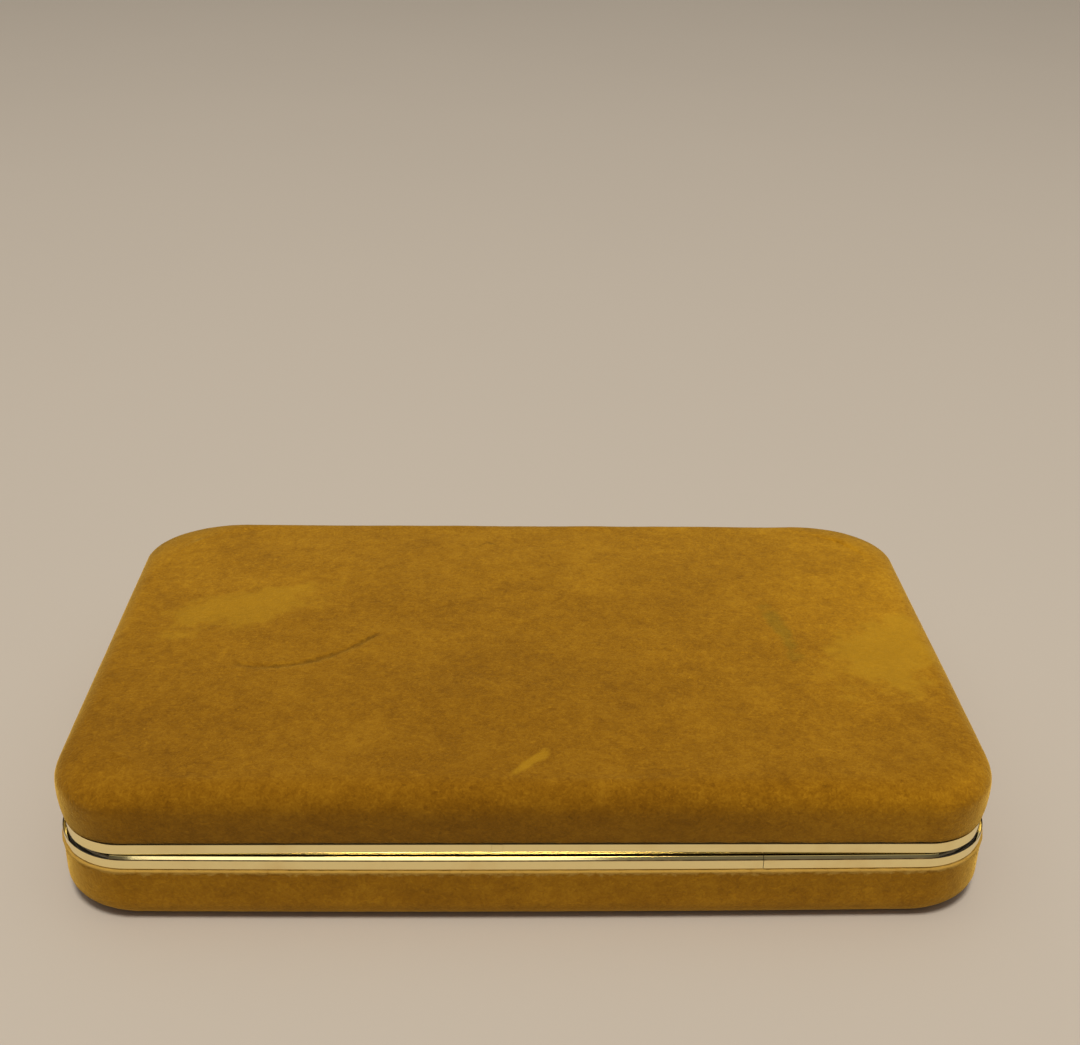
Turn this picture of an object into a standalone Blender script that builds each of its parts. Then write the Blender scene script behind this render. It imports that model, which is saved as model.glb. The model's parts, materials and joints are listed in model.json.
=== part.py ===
"""A velvet-covered jewelry presentation case with gold rims, a lift-out display pad and two snap hinges.

The case lies closed on its base. +X runs along its length, its front faces -Y, its hinges are at +Y,
and the origin is in the middle of its underside.
"""

from math import atan2, cos, pi, radians, sin, sqrt

import bmesh
import bpy
from mathutils import Matrix, Vector

MM = 0.001
WIDTH = 190 * MM
DEPTH = 118 * MM
GAP = 0.3 * MM
SKIN_GAP = 0.25 * MM

# Heights of the parting line's bands, from the table upwards.
BASE_BAND_LOW = 13.6 * MM
BASE_BAND_HIGH = 15.7 * MM
LID_BAND_LOW = 16.4 * MM
LID_BAND_HIGH = 18.5 * MM
BAND_METAL = 0.6 * MM
BASE_BAND_INSET = 0.1 * MM
LID_BAND_INSET = 1.2 * MM
BASE_BAND_CORNER = 15.6 * MM
LID_BAND_CORNER = 13.4 * MM
TONGUE_INSET = 3.1 * MM
TONGUE_TOP = 17.6 * MM
LID_FLANGE_INSET = 2.6 * MM
CORNER_NOTCH_START = radians(12)

# The lid's outer form: its wall bulges from its edge to its shoulder, and a fillet leads to its top.
LID_EDGE = LID_BAND_HIGH + SKIN_GAP
LID_BULGE = 0.95 * MM
LID_SHOULDER = 26.8 * MM
LID_TOP = 32.0 * MM
LID_CROWN = 0.5 * MM
LID_FILLET = 5.2 * MM
LID_EDGE_CORNER = 13.8 * MM
LID_SHOULDER_CORNER = 15.4 * MM
LID_TOP_CORNER = 26 * MM
LID_CROWN_RINGS = ((20 * MM, 0.7, 26 * MM), (38 * MM, 1.0, 12 * MM))

# The base's outer form: a straight wall on a rounded bottom edge.
BASE_CORNER = 15.6 * MM
BASE_FILLET = 5.5 * MM
BASE_VELVET_TOP = BASE_BAND_LOW - SKIN_GAP

VELVET = 0.8 * MM
STEEL = 0.7 * MM
CARD = 1.2 * MM
LINING = 0.8 * MM
WADDING = 1.0 * MM
BASE_SHELL_TOP = 14.5 * MM
TRAY_LINING_LOW = 7 * MM
LID_SHELL_EDGE = 17.3 * MM
WADDING_INSET = 7 * MM
WADDING_CORNER = 18 * MM
STEEL_OFFSET = VELVET + SKIN_GAP
INNER_OFFSET = STEEL_OFFSET + STEEL

# The hinges, whose axis lies between the two bands at the back.
HINGE_X = 52 * MM
HINGE_Y = 58.2 * MM
HINGE_Z = (BASE_BAND_HIGH + LID_BAND_LOW) / 2
KNUCKLE_RADIUS = 1.15 * MM
PIN_RADIUS = 0.5 * MM
PIN_CLEARANCE = 0.1 * MM
KNUCKLE_LENGTH = 7.8 * MM
KNUCKLE_PITCH = KNUCKLE_LENGTH + GAP
BARREL_LENGTH = KNUCKLE_LENGTH + 2 * KNUCKLE_PITCH
LEAF_METAL = 0.6 * MM
LEAF_HALF_WIDTH = BARREL_LENGTH / 2
BASE_LEAF_Y = 56.4 * MM
LID_LEAF_Y = 55.4 * MM
BASE_LEAF_LOW = 8.0 * MM
LID_LEAF_HIGH = 25.0 * MM
BASE_NOTCH_Z = 14.6 * MM
LID_NOTCH_Z = 17.5 * MM
HOOK_REACH = 0.7 * MM

# The bow springs that cross the parting line in front of the hinges.
SPRING_METAL = 0.35 * MM
SPRING_HALF_WIDTH = 3.5 * MM
SPRING_BELLY_Y = 52.6 * MM
SPRING_BASE_END = (55.3 * MM, 10.2 * MM)
SPRING_LID_END = (54.3 * MM, 21.9 * MM)

# The lift-out display pad.
PAD_LOW = 3.5 * MM
PAD_TOP = 11.0 * MM
PAD_HALF_X = 90.8 * MM
PAD_FRONT_Y = -54.3 * MM
PAD_BACK_Y = 51.8 * MM
PAD_CORNER = 13 * MM
PAD_FILLET = 2 * MM
BOARD_LOW = 2.05 * MM
BOARD_INSET = 6.5 * MM
BOARD_CORNER = 12 * MM
BOARD_HALF_Y = 52 * MM
BOARD_CENTRE_Y = -0.5 * MM
CHAIN_SLIT = (12 * MM, 1.2 * MM)
CHAIN_SLIT_PLACE = (64 * MM, 36 * MM)
CHAIN_SLIT_TURN = radians(38)
EARRING_SLIT = (1.2 * MM, 7 * MM)
EARRING_SLIT_PLACE = (11 * MM, 16 * MM)
SLIT_DEPTH = 5 * MM
RIBBON = 0.4 * MM
RIBBON_HALF_WIDTH = 4 * MM
RIBBON_Y = -54.85 * MM
RIBBON_END_Y = -40 * MM
RIBBON_BEND = 1 * MM

# The lid's lining.
SATIN_INSET = 4.2 * MM
SATIN_LOW = 23.8 * MM
SATIN_HIGH = 27.2 * MM
SATIN_CORNER = 13 * MM
LID_LINING_INSET = 3.0 * MM
LID_LINING_METAL = 0.6 * MM
LID_LINING_LOW = 18.0 * MM
LID_BOARD_INSET = 4.8 * MM
LID_BOARD_CORNER = 16 * MM

BASE_SEAM_X = 47 * MM
LID_JOINT_X = -6.0 * MM
LID_JOINT_WIDTH = 2.3 * MM

CORNER_STEPS = 6
FILLET_STEPS = 4

COLOURS = {
    "velvet_gold": ((0.38, 0.20, 0.02), 0.9, 0.0),
    "trim_gold": ((0.83, 0.62, 0.30), 0.25, 1.0),
    "shell_steel": ((0.45, 0.45, 0.44), 0.4, 1.0),
    "satin_ivory": ((0.80, 0.72, 0.56), 0.35, 0.0),
    "velvet_cream": ((0.72, 0.62, 0.44), 0.9, 0.0),
    "card": ((0.55, 0.45, 0.32), 0.9, 0.0),
    "wadding": ((0.85, 0.83, 0.78), 1.0, 0.0),
    "spring_steel": ((0.50, 0.50, 0.52), 0.3, 1.0),
    "hinge_brass": ((0.70, 0.52, 0.25), 0.35, 1.0),
    "ribbon": ((0.42, 0.24, 0.04), 0.5, 0.0),
}


def clear_scene():
    for old in list(bpy.data.objects):
        bpy.data.objects.remove(old)


def new_collection(name):
    collection = bpy.data.collections.new(name)
    bpy.context.scene.collection.children.link(collection)
    return collection


def material(name):
    """The finish of that name, made once."""
    found = bpy.data.materials.get(name)
    if found:
        return found
    colour, roughness, metallic = COLOURS[name]
    made = bpy.data.materials.new(name)
    made.use_nodes = True
    shader = made.node_tree.nodes["Principled BSDF"]
    shader.inputs["Base Color"].default_value = (*colour, 1)
    shader.inputs["Roughness"].default_value = roughness
    shader.inputs["Metallic"].default_value = metallic
    return made


def finish_mesh(name, bm, finish):
    """Turns a bmesh into a named sub-part with its faces out."""
    bmesh.ops.recalc_face_normals(bm, faces=bm.faces)
    mesh = bpy.data.meshes.new(name)
    bm.to_mesh(mesh)
    bm.free()
    mesh.shade_smooth()
    mesh.set_sharp_from_angle(angle=radians(40))
    part = bpy.data.objects.new(name, mesh)
    if finish is None:
        CUTTERS.objects.link(part)
        part.hide_render = True
        part.display_type = "WIRE"
    else:
        mesh.materials.append(material(finish))
        PARTS.objects.link(part)
    return part


def boolean(part, other, operation):
    modifier = part.modifiers.new(other.name, "BOOLEAN")
    modifier.operation = operation
    modifier.solver = "EXACT"
    modifier.object = other


def box(name, low, high, finish=None):
    low, high = Vector(low), Vector(high)
    bm = bmesh.new()
    place = Matrix.Translation((low + high) / 2) @ Matrix.Diagonal((*(high - low), 1))
    bmesh.ops.create_cube(bm, size=1, matrix=place)
    return finish_mesh(name, bm, finish)


def rod(name, centre, radius, length, steps, finish=None):
    """A cylinder along X."""
    bm = bmesh.new()
    place = Matrix.Translation(centre) @ Matrix.Rotation(pi / 2, 4, "Y")
    bmesh.ops.create_cone(
        bm, cap_ends=True, segments=steps, radius1=radius, radius2=radius, depth=length, matrix=place
    )
    return finish_mesh(name, bm, finish)


def prism(name, outline, x_low, x_high, finish=None):
    """An outline in Y and Z, drawn out along X."""
    bm = bmesh.new()
    face = bm.faces.new([bm.verts.new((x_low, y, z)) for y, z in outline])
    drawn = bmesh.ops.extrude_face_region(bm, geom=[face])
    moved = [v for v in drawn["geom"] if isinstance(v, bmesh.types.BMVert)]
    bmesh.ops.translate(bm, verts=moved, vec=(x_high - x_low, 0, 0))
    return finish_mesh(name, bm, finish)


def strip(name, path, thickness, half_width, centre_x, finish):
    """A flat strip that follows a path in Y and Z."""
    sides = ([], [])
    for i, (y, z) in enumerate(path):
        before, after = path[max(i - 1, 0)], path[min(i + 1, len(path) - 1)]
        angle = atan2(after[1] - before[1], after[0] - before[0])
        for side, sign in zip(sides, (1, -1)):
            reach = sign * thickness / 2
            side.append((y - reach * sin(angle), z + reach * cos(angle)))
    outline = sides[0] + sides[1][::-1]
    return prism(name, outline, centre_x - half_width, centre_x + half_width, finish)


def ring(inset, z, corner, half_depth=None, centre_y=0.0):
    """A rounded rectangle at one height, inset from the case's outline."""
    half_x = WIDTH / 2 - inset
    half_y = DEPTH / 2 - inset if half_depth is None else half_depth
    points = []
    for quarter, (sx, sy) in enumerate(((1, 1), (-1, 1), (-1, -1), (1, -1))):
        for step in range(CORNER_STEPS + 1):
            angle = (quarter + step / CORNER_STEPS) * pi / 2
            x = sx * (half_x - corner) + corner * cos(angle)
            y = sy * (half_y - corner) + corner * sin(angle)
            points.append((x, centre_y + y, z))
    return points


def loft(name, rings, finish, looped=False):
    """Joins rings into a solid: capped at its first and last ring, or looped back like a frame."""
    bm = bmesh.new()
    rows = [[bm.verts.new(p) for p in points] for points in rings]
    count = len(rows[0])
    pairs = list(zip(rows, rows[1:]))
    if looped:
        pairs.append((rows[-1], rows[0]))
    else:
        bm.faces.new(rows[0])
        bm.faces.new(rows[-1])
    for low, high in pairs:
        for i in range(count):
            after = (i + 1) % count
            bm.faces.new((low[i], low[after], high[after], high[i]))
    return finish_mesh(name, bm, finish)


def base_surface(offset, high):
    """Rings of the base's wall at that depth under its outside, from the bottom up."""
    reach = BASE_FILLET - offset
    rings = []
    for step in range(FILLET_STEPS + 1):
        angle = pi / 2 * step / FILLET_STEPS
        inset = BASE_FILLET - reach * sin(angle)
        z = BASE_FILLET - reach * cos(angle)
        rings.append(ring(inset, z, BASE_CORNER - offset))
    rings.append(ring(offset, high, BASE_CORNER - offset))
    return rings


def lid_surface(offset, low, top):
    """Rings of the lid's wall and fillet at that depth under its outside, from its edge up."""
    rings = []
    if low < LID_EDGE:
        rings.append(ring(offset + LID_BULGE, low, LID_EDGE_CORNER - offset))
    for share in (0, 0.5, 1):
        z = LID_EDGE + (LID_SHOULDER - LID_EDGE) * share
        corner = LID_EDGE_CORNER + (LID_SHOULDER_CORNER - LID_EDGE_CORNER) * share
        rings.append(ring(offset + LID_BULGE * (1 - sin(pi / 2 * share)), z, corner - offset))
    for step in range(1, FILLET_STEPS + 1):
        angle = pi / 2 * step / FILLET_STEPS
        fall = 1 - cos(angle)
        corner = LID_SHOULDER_CORNER + (LID_TOP_CORNER - LID_SHOULDER_CORNER) * fall
        inset = offset + (LID_FILLET - offset) * fall
        rings.append(ring(inset, LID_SHOULDER + (top - LID_SHOULDER) * sin(angle), corner - offset))
    return rings


def pan(name, outside, inside, finish):
    """A shell between two surfaces whose rings run the same way, joined round its open edge."""
    return loft(name, outside + inside[::-1], finish)


def make_base_velvet():
    outside = base_surface(0, BASE_VELVET_TOP)
    inside = base_surface(VELVET, BASE_VELVET_TOP)
    return pan("base_velvet", outside, inside, "velvet_gold")


def make_base_shell():
    outside = base_surface(STEEL_OFFSET, BASE_SHELL_TOP)
    inside = base_surface(INNER_OFFSET, BASE_SHELL_TOP)
    return pan("base_shell", outside, inside, "shell_steel")


def make_lid_velvet():
    crown = [ring(inset, LID_TOP + share * LID_CROWN, corner) for inset, share, corner in LID_CROWN_RINGS]
    outside = lid_surface(0, LID_EDGE, LID_TOP) + crown
    inside = lid_surface(VELVET, LID_EDGE, LID_TOP - VELVET)
    return loft("lid_velvet", outside[::-1] + inside, "velvet_gold")


def make_lid_shell():
    top = LID_TOP - VELVET - WADDING - 2 * SKIN_GAP
    outside = lid_surface(STEEL_OFFSET, LID_SHELL_EDGE, top)
    inside = lid_surface(INNER_OFFSET, LID_SHELL_EDGE, top - STEEL)
    return loft("lid_shell", outside[::-1] + inside, "shell_steel")


def make_plate(name, low, high, inset, corner, finish):
    return loft(name, [ring(inset, z, corner) for z in (low, high)], finish)


def band_ring(section, band_inset, band_corner, name, finish):
    """A frame whose section is given as (inset, z) points, going round the case."""
    rings = [ring(inset, z, band_corner - (inset - band_inset)) for inset, z in section]
    return loft(name, rings, finish, looped=True)


def corner_notch(sx, sy):
    """Takes the ledge away between the band and the tongue, round one corner."""
    outer = BASE_BAND_INSET + BAND_METAL
    centre = (sx * (WIDTH / 2 - BASE_BAND_CORNER), sy * (DEPTH / 2 - BASE_BAND_CORNER))
    far = BASE_BAND_CORNER + BASE_BAND_INSET - outer
    near = BASE_BAND_CORNER + BASE_BAND_INSET - TONGUE_INSET + 0.2 * MM
    start = CORNER_NOTCH_START
    points = []
    for radius, shares in ((far, range(9)), (near, range(8, -1, -1))):
        for share in shares:
            angle = start + (pi / 2 - 2 * start) * share / 8
            points.append((centre[0] + sx * radius * cos(angle), centre[1] + sy * radius * sin(angle)))
    bm = bmesh.new()
    low = BASE_BAND_HIGH - BAND_METAL - 0.4 * MM
    face = bm.faces.new([bm.verts.new((x, y, low)) for x, y in points])
    drawn = bmesh.ops.extrude_face_region(bm, geom=[face])
    moved = [v for v in drawn["geom"] if isinstance(v, bmesh.types.BMVert)]
    bmesh.ops.translate(bm, verts=moved, vec=(0, 0, 1.4 * MM))
    return finish_mesh(f"corner_notch_{sx}_{sy}", bm, None)


def make_base_rim():
    """The band, the ledge on its top and the tongue that stands up inside the lid."""
    ledge_under = BASE_BAND_HIGH - BAND_METAL
    section = [
        (BASE_BAND_INSET, BASE_BAND_LOW),
        (BASE_BAND_INSET, BASE_BAND_HIGH),
        (TONGUE_INSET, BASE_BAND_HIGH),
        (TONGUE_INSET, TONGUE_TOP),
        (TONGUE_INSET + BAND_METAL, TONGUE_TOP),
        (TONGUE_INSET + BAND_METAL, ledge_under),
        (BASE_BAND_INSET + BAND_METAL, ledge_under),
        (BASE_BAND_INSET + BAND_METAL, BASE_BAND_LOW),
    ]
    rim = band_ring(section, BASE_BAND_INSET, BASE_BAND_CORNER, "base_rim", "trim_gold")
    for sx in (-1, 1):
        for sy in (-1, 1):
            boolean(rim, corner_notch(sx, sy), "DIFFERENCE")
    half = GAP / 2
    seam = box(
        "base_rim_seam",
        (BASE_SEAM_X - half, -DEPTH / 2 - MM, BASE_BAND_LOW - MM),
        (BASE_SEAM_X + half, -DEPTH / 2 + 5 * MM, TONGUE_TOP + MM),
    )
    boolean(rim, seam, "DIFFERENCE")
    return rim


def lid_band_section():
    return [
        (LID_BAND_INSET, LID_BAND_LOW),
        (LID_BAND_INSET, LID_BAND_HIGH),
        (LID_BAND_INSET + BAND_METAL, LID_BAND_HIGH),
        (LID_BAND_INSET + BAND_METAL, LID_BAND_LOW + BAND_METAL),
        (LID_FLANGE_INSET, LID_BAND_LOW + BAND_METAL),
        (LID_FLANGE_INSET, LID_BAND_LOW),
    ]


def make_lid_rim():
    """The lid's band and the flange under the shell's edge, with room for the joint piece."""
    rim = band_ring(lid_band_section(), LID_BAND_INSET, LID_BAND_CORNER, "lid_rim", "trim_gold")
    half = LID_JOINT_WIDTH / 2 + GAP
    opening = box(
        "lid_rim_opening",
        (LID_JOINT_X - half, -DEPTH / 2, LID_BAND_LOW - MM),
        (LID_JOINT_X + half, -DEPTH / 2 + 4 * MM, LID_BAND_HIGH + MM),
    )
    boolean(rim, opening, "DIFFERENCE")
    return rim


def make_lid_rim_joint():
    outline = [(-DEPTH / 2 + inset, z) for inset, z in lid_band_section()]
    half = LID_JOINT_WIDTH / 2
    return prism("lid_rim_joint", outline, LID_JOINT_X - half, LID_JOINT_X + half, "trim_gold")


def make_linings():
    """The strips round the inside of the tray and of the lid, each as (outer, inner) walls."""
    tray_outer = INNER_OFFSET + GAP
    tray = [(tray_outer, TRAY_LINING_LOW), (tray_outer, BASE_SHELL_TOP)]
    tray += [(tray_outer + LINING, BASE_SHELL_TOP), (tray_outer + LINING, TRAY_LINING_LOW)]
    lid_inner = LID_LINING_INSET + LID_LINING_METAL
    lid = [(LID_LINING_INSET, LID_LINING_LOW), (LID_LINING_INSET, SATIN_HIGH)]
    lid += [(lid_inner, SATIN_HIGH), (lid_inner, LID_LINING_LOW)]
    tray_strip = band_ring(tray, 0, BASE_CORNER, "tray_lining", "satin_ivory")
    lid_strip = band_ring(lid, 0, LID_SHOULDER_CORNER, "lid_side_lining", "satin_ivory")
    return tray_strip, lid_strip


def make_leaf(side, x, is_lid):
    """A hinge leaf: a plate inside the back wall, arms over the wall's edge, and knuckles."""
    owner = "lid" if is_lid else "base"
    name = f"hinge_{side}_{owner}_leaf"
    y = LID_LEAF_Y if is_lid else BASE_LEAF_Y
    arm_low = LID_BAND_LOW if is_lid else BASE_BAND_HIGH - LEAF_METAL
    low, high = (arm_low, LID_LEAF_HIGH) if is_lid else (BASE_LEAF_LOW, BASE_BAND_HIGH)
    plate_half = LEAF_HALF_WIDTH - MM
    leaf = box(name, (x - plate_half, y, low), (x + plate_half, y + LEAF_METAL, high), "hinge_brass")
    places = (0,) if is_lid else (-1, 1)
    for place in places:
        centre = x + place * KNUCKLE_PITCH
        half = KNUCKLE_LENGTH / 2
        arm = box(
            f"{name}_arm_{place}",
            (centre - half, y + LEAF_METAL / 2, arm_low),
            (centre + half, HINGE_Y - 0.6 * MM, arm_low + LEAF_METAL),
        )
        axis_point = (centre, HINGE_Y, HINGE_Z)
        knuckle = rod(f"{name}_knuckle_{place}", axis_point, KNUCKLE_RADIUS, KNUCKLE_LENGTH, 16)
        boolean(leaf, arm, "UNION")
        boolean(leaf, knuckle, "UNION")
    hook_z = SPRING_LID_END[1] - 1.1 * MM if is_lid else SPRING_BASE_END[1] + 0.5 * MM
    hook = box(
        f"{name}_hook",
        (x - SPRING_HALF_WIDTH, y - HOOK_REACH, hook_z),
        (x + SPRING_HALF_WIDTH, y + LEAF_METAL / 2, hook_z + LEAF_METAL),
    )
    boolean(leaf, hook, "UNION")
    bore = rod(f"{name}_bore", (x, HINGE_Y, HINGE_Z), PIN_RADIUS + PIN_CLEARANCE, BARREL_LENGTH + 2 * MM, 12)
    boolean(leaf, bore, "DIFFERENCE")
    return leaf


def make_spring(side, x):
    """A bow from the base leaf's hook to the lid leaf's hook, bellied towards the front."""
    (y0, z0), (y1, z1) = SPRING_BASE_END, SPRING_LID_END
    middle = ((y0 + y1) / 2, (z0 + z1) / 2)
    sag = middle[0] - SPRING_BELLY_Y
    half_chord = sqrt((y1 - y0) ** 2 + (z1 - z0) ** 2) / 2
    radius = (half_chord**2 + sag**2) / (2 * sag)
    centre = (SPRING_BELLY_Y + radius, middle[1])
    start = atan2(z0 - centre[1], y0 - centre[0])
    end = atan2(z1 - centre[1], y1 - centre[0])
    if start < 0:
        start += 2 * pi
    path = []
    for step in range(11):
        angle = start + (end - start) * step / 10
        path.append((centre[0] + radius * cos(angle), centre[1] + radius * sin(angle)))
    path.insert(0, (BASE_LEAF_Y - GAP - SPRING_METAL / 2, z0 - 0.1 * MM))
    path.append((LID_LEAF_Y - GAP - SPRING_METAL / 2, z1 + 0.1 * MM))
    return strip(f"snap_spring_{side}", path, SPRING_METAL, SPRING_HALF_WIDTH, x, "spring_steel")


def cut_for_hinge(side, x, base_rim, lid_rim, tray_lining, lid_lining):
    """Room for one hinge in the rims and the linings."""
    half = BARREL_LENGTH / 2 + GAP
    back = DEPTH / 2 + MM
    cuts = [
        (base_rim, "base_rim", (BASE_LEAF_Y - 1.5 * MM, BASE_NOTCH_Z), (back, TONGUE_TOP + MM)),
        (lid_rim, "lid_rim", (LID_LEAF_Y, LID_BAND_LOW - MM), (back, LID_NOTCH_Z)),
        (tray_lining, "tray", (BASE_LEAF_Y - 1.2 * MM, BASE_LEAF_LOW - GAP), (back, BASE_SHELL_TOP + MM)),
        (lid_lining, "lid_lining", (LID_LEAF_Y - MM, LID_LINING_LOW - MM), (back, LID_LEAF_HIGH + GAP)),
    ]
    for part, label, (y_low, z_low), (y_high, z_high) in cuts:
        cutter = box(f"{label}_notch_{side}", (x - half, y_low, z_low), (x + half, y_high, z_high))
        boolean(part, cutter, "DIFFERENCE")


def make_hinges(base_rim, lid_rim, tray_lining, lid_lining):
    for side, x in (("left", -HINGE_X), ("right", HINGE_X)):
        cut_for_hinge(side, x, base_rim, lid_rim, tray_lining, lid_lining)
        make_leaf(side, x, is_lid=False)
        make_leaf(side, x, is_lid=True)
        rod(f"hinge_{side}_pin", (x, HINGE_Y, HINGE_Z), PIN_RADIUS, BARREL_LENGTH + GAP, 12, "hinge_brass")
        make_spring(side, x)


def slit(name, size, place, turn):
    bm = bmesh.new()
    height = 2 * SLIT_DEPTH
    matrix = Matrix.Translation((*place, PAD_TOP)) @ Matrix.Rotation(turn, 4, "Z")
    bmesh.ops.create_cube(bm, size=1, matrix=matrix @ Matrix.Diagonal((*size, height, 1)))
    return finish_mesh(name, bm, None)


def make_display_pad():
    half_depth = (PAD_BACK_Y - PAD_FRONT_Y) / 2
    centre_y = (PAD_BACK_Y + PAD_FRONT_Y) / 2
    side_inset = WIDTH / 2 - PAD_HALF_X
    rings = [ring(side_inset, PAD_LOW, PAD_CORNER, half_depth, centre_y)]
    for step in range(FILLET_STEPS + 1):
        angle = pi / 2 * step / FILLET_STEPS
        fall = PAD_FILLET * (1 - cos(angle))
        z = PAD_TOP - PAD_FILLET * (1 - sin(angle))
        rings.append(ring(side_inset + fall, z, PAD_CORNER - fall, half_depth - fall, centre_y))
    pad = loft("display_pad", rings, "velvet_cream")
    for sx in (-1, 1):
        place = (sx * CHAIN_SLIT_PLACE[0], CHAIN_SLIT_PLACE[1])
        boolean(pad, slit(f"chain_slit_{sx}", CHAIN_SLIT, place, -sx * CHAIN_SLIT_TURN), "DIFFERENCE")
        place = (sx * EARRING_SLIT_PLACE[0], EARRING_SLIT_PLACE[1])
        boolean(pad, slit(f"earring_slit_{sx}", EARRING_SLIT, place, 0), "DIFFERENCE")
    return pad


def make_insert():
    """The display pad, the card under it and the ribbon that lifts them."""
    make_display_pad()
    levels = (BOARD_LOW, BOARD_LOW + CARD)
    board_rings = [ring(BOARD_INSET, z, BOARD_CORNER, BOARD_HALF_Y, BOARD_CENTRE_Y) for z in levels]
    loft("pad_board", board_rings, "card")
    over = PAD_TOP + GAP + RIBBON / 2
    path = [(RIBBON_Y, PAD_LOW), (RIBBON_Y, over - RIBBON_BEND)]
    for step in range(1, FILLET_STEPS + 1):
        angle = pi / 2 * step / FILLET_STEPS
        y = RIBBON_Y + RIBBON_BEND * (1 - cos(angle))
        path.append((y, over - RIBBON_BEND * (1 - sin(angle))))
    path.append((RIBBON_END_Y, over))
    strip("pull_ribbon", path, RIBBON, RIBBON_HALF_WIDTH, 0, "ribbon")


def make_lid_inside():
    wadding_low = LID_TOP - VELVET - SKIN_GAP - WADDING
    make_plate("lid_wadding", wadding_low, wadding_low + WADDING, WADDING_INSET, WADDING_CORNER, "wadding")
    make_plate("lid_satin_pad", SATIN_LOW, SATIN_HIGH, SATIN_INSET, SATIN_CORNER, "satin_ivory")
    board_low = SATIN_HIGH + GAP
    make_plate("lid_lining_board", board_low, board_low + CARD, LID_BOARD_INSET, LID_BOARD_CORNER, "card")


def hang_on(pivot_name, place, names):
    """Parents a moving body's pieces to an empty on its joint, leaving them where they are."""
    pivot = bpy.data.objects.new(pivot_name, None)
    pivot.location = place
    PARTS.objects.link(pivot)
    for part in PARTS.objects:
        if part.name.startswith(names) and part != pivot:
            part.parent = pivot
            part.matrix_parent_inverse = Matrix.Translation(place).inverted()


def build():
    make_base_velvet()
    make_base_shell()
    make_lid_velvet()
    make_lid_shell()
    base_rim = make_base_rim()
    lid_rim = make_lid_rim()
    make_lid_rim_joint()
    tray_lining, lid_lining = make_linings()
    make_hinges(base_rim, lid_rim, tray_lining, lid_lining)
    make_insert()
    make_lid_inside()
    lid_names = ("lid_", "hinge_left_lid_leaf", "hinge_right_lid_leaf")
    hang_on("pivot_of_lid", (0, HINGE_Y, HINGE_Z), lid_names)
    hang_on("pivot_of_insert", (0, 0, PAD_LOW), ("display_pad", "pad_board", "pull_ribbon"))


clear_scene()
PARTS = new_collection("jewelry_gift_box")
CUTTERS = new_collection("cutters")
build()
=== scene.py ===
"""The looks of a velvet jewelry case: its pile, gold rims, satin and velvet inside, stage and light."""

import json
from math import cos, exp, pi, radians, sin, sqrt, tan

import bmesh
import bpy
from mathutils import Matrix, Vector, noise
from mathutils.bvhtree import BVHTree


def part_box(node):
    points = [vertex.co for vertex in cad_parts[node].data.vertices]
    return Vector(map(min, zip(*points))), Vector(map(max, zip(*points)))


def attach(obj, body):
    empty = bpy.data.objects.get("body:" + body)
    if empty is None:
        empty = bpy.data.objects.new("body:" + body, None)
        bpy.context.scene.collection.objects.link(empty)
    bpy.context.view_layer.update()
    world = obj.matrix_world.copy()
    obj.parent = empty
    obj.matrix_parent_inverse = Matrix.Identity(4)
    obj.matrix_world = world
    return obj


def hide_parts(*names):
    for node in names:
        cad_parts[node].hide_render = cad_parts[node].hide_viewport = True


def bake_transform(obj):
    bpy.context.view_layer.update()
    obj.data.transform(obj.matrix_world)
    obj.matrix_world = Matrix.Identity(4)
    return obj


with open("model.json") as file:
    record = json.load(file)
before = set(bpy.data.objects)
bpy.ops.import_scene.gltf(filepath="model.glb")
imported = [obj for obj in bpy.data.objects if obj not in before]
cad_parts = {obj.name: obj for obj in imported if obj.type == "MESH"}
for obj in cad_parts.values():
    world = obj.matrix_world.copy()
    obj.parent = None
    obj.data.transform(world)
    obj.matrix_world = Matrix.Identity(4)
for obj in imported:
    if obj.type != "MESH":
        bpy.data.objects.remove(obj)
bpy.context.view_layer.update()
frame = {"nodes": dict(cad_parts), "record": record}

MM = 0.001

# The camera stands where the photograph was taken from, in front of the case and above it.
CAMERA_AIM = (3.1 * MM, 0.0, 60.9 * MM)
CAMERA_DISTANCE = 326.4 * MM
CAMERA_PITCH = radians(26.75)
CAMERA_ROLL = radians(-1.1)
CAMERA_YAW = radians(1.86)
CAMERA_LENS_MM = 49.5

# The light. The room is dim low down and pale overhead, and its far side, towards +Y, is pale too: each row
# gives the sines between which the brightness changes, and the brightness at each.
LIGHT_COLOUR = (1.0, 0.94, 0.85, 1.0)
ROOM_LIGHT = (0.42, 0.9, 0.07, 0.6)
BACKDROP_LIGHT = (0.1, 0.7, 0.0, 0.4)
HIGH_HEIGHT = radians(68)
HIGH_TURN = -0.02
HIGH_DISTANCE = 2.5
HIGH_SIZE = (0.6, 0.6)
HIGH_POWER = 40.0
FRONT_HEIGHT = radians(33)
FRONT_TURN = radians(-8.5)
FRONT_DISTANCE = 1.2
FRONT_SIZE = (0.5, 0.2)
FRONT_POWER = 0.32
FLOOR_HALF = 40.0

# Places read from the frame.
LID_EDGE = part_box("lid_velvet")[0].z
BASE_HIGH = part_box("base_velvet")[1]
BASE_RIM_LOW, BASE_RIM_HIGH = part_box("base_rim")
LID_RIM_LOW, LID_RIM_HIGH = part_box("lid_rim")
PAD_LOW, PAD_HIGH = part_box("display_pad")
SATIN_LOW, SATIN_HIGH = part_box("lid_satin_pad")
RIBBON_LOW, RIBBON_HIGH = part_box("pull_ribbon")
HALF_X = BASE_HIGH.x
HALF_Y = BASE_HIGH.y
BASE_TOP = BASE_HIGH.z

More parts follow.
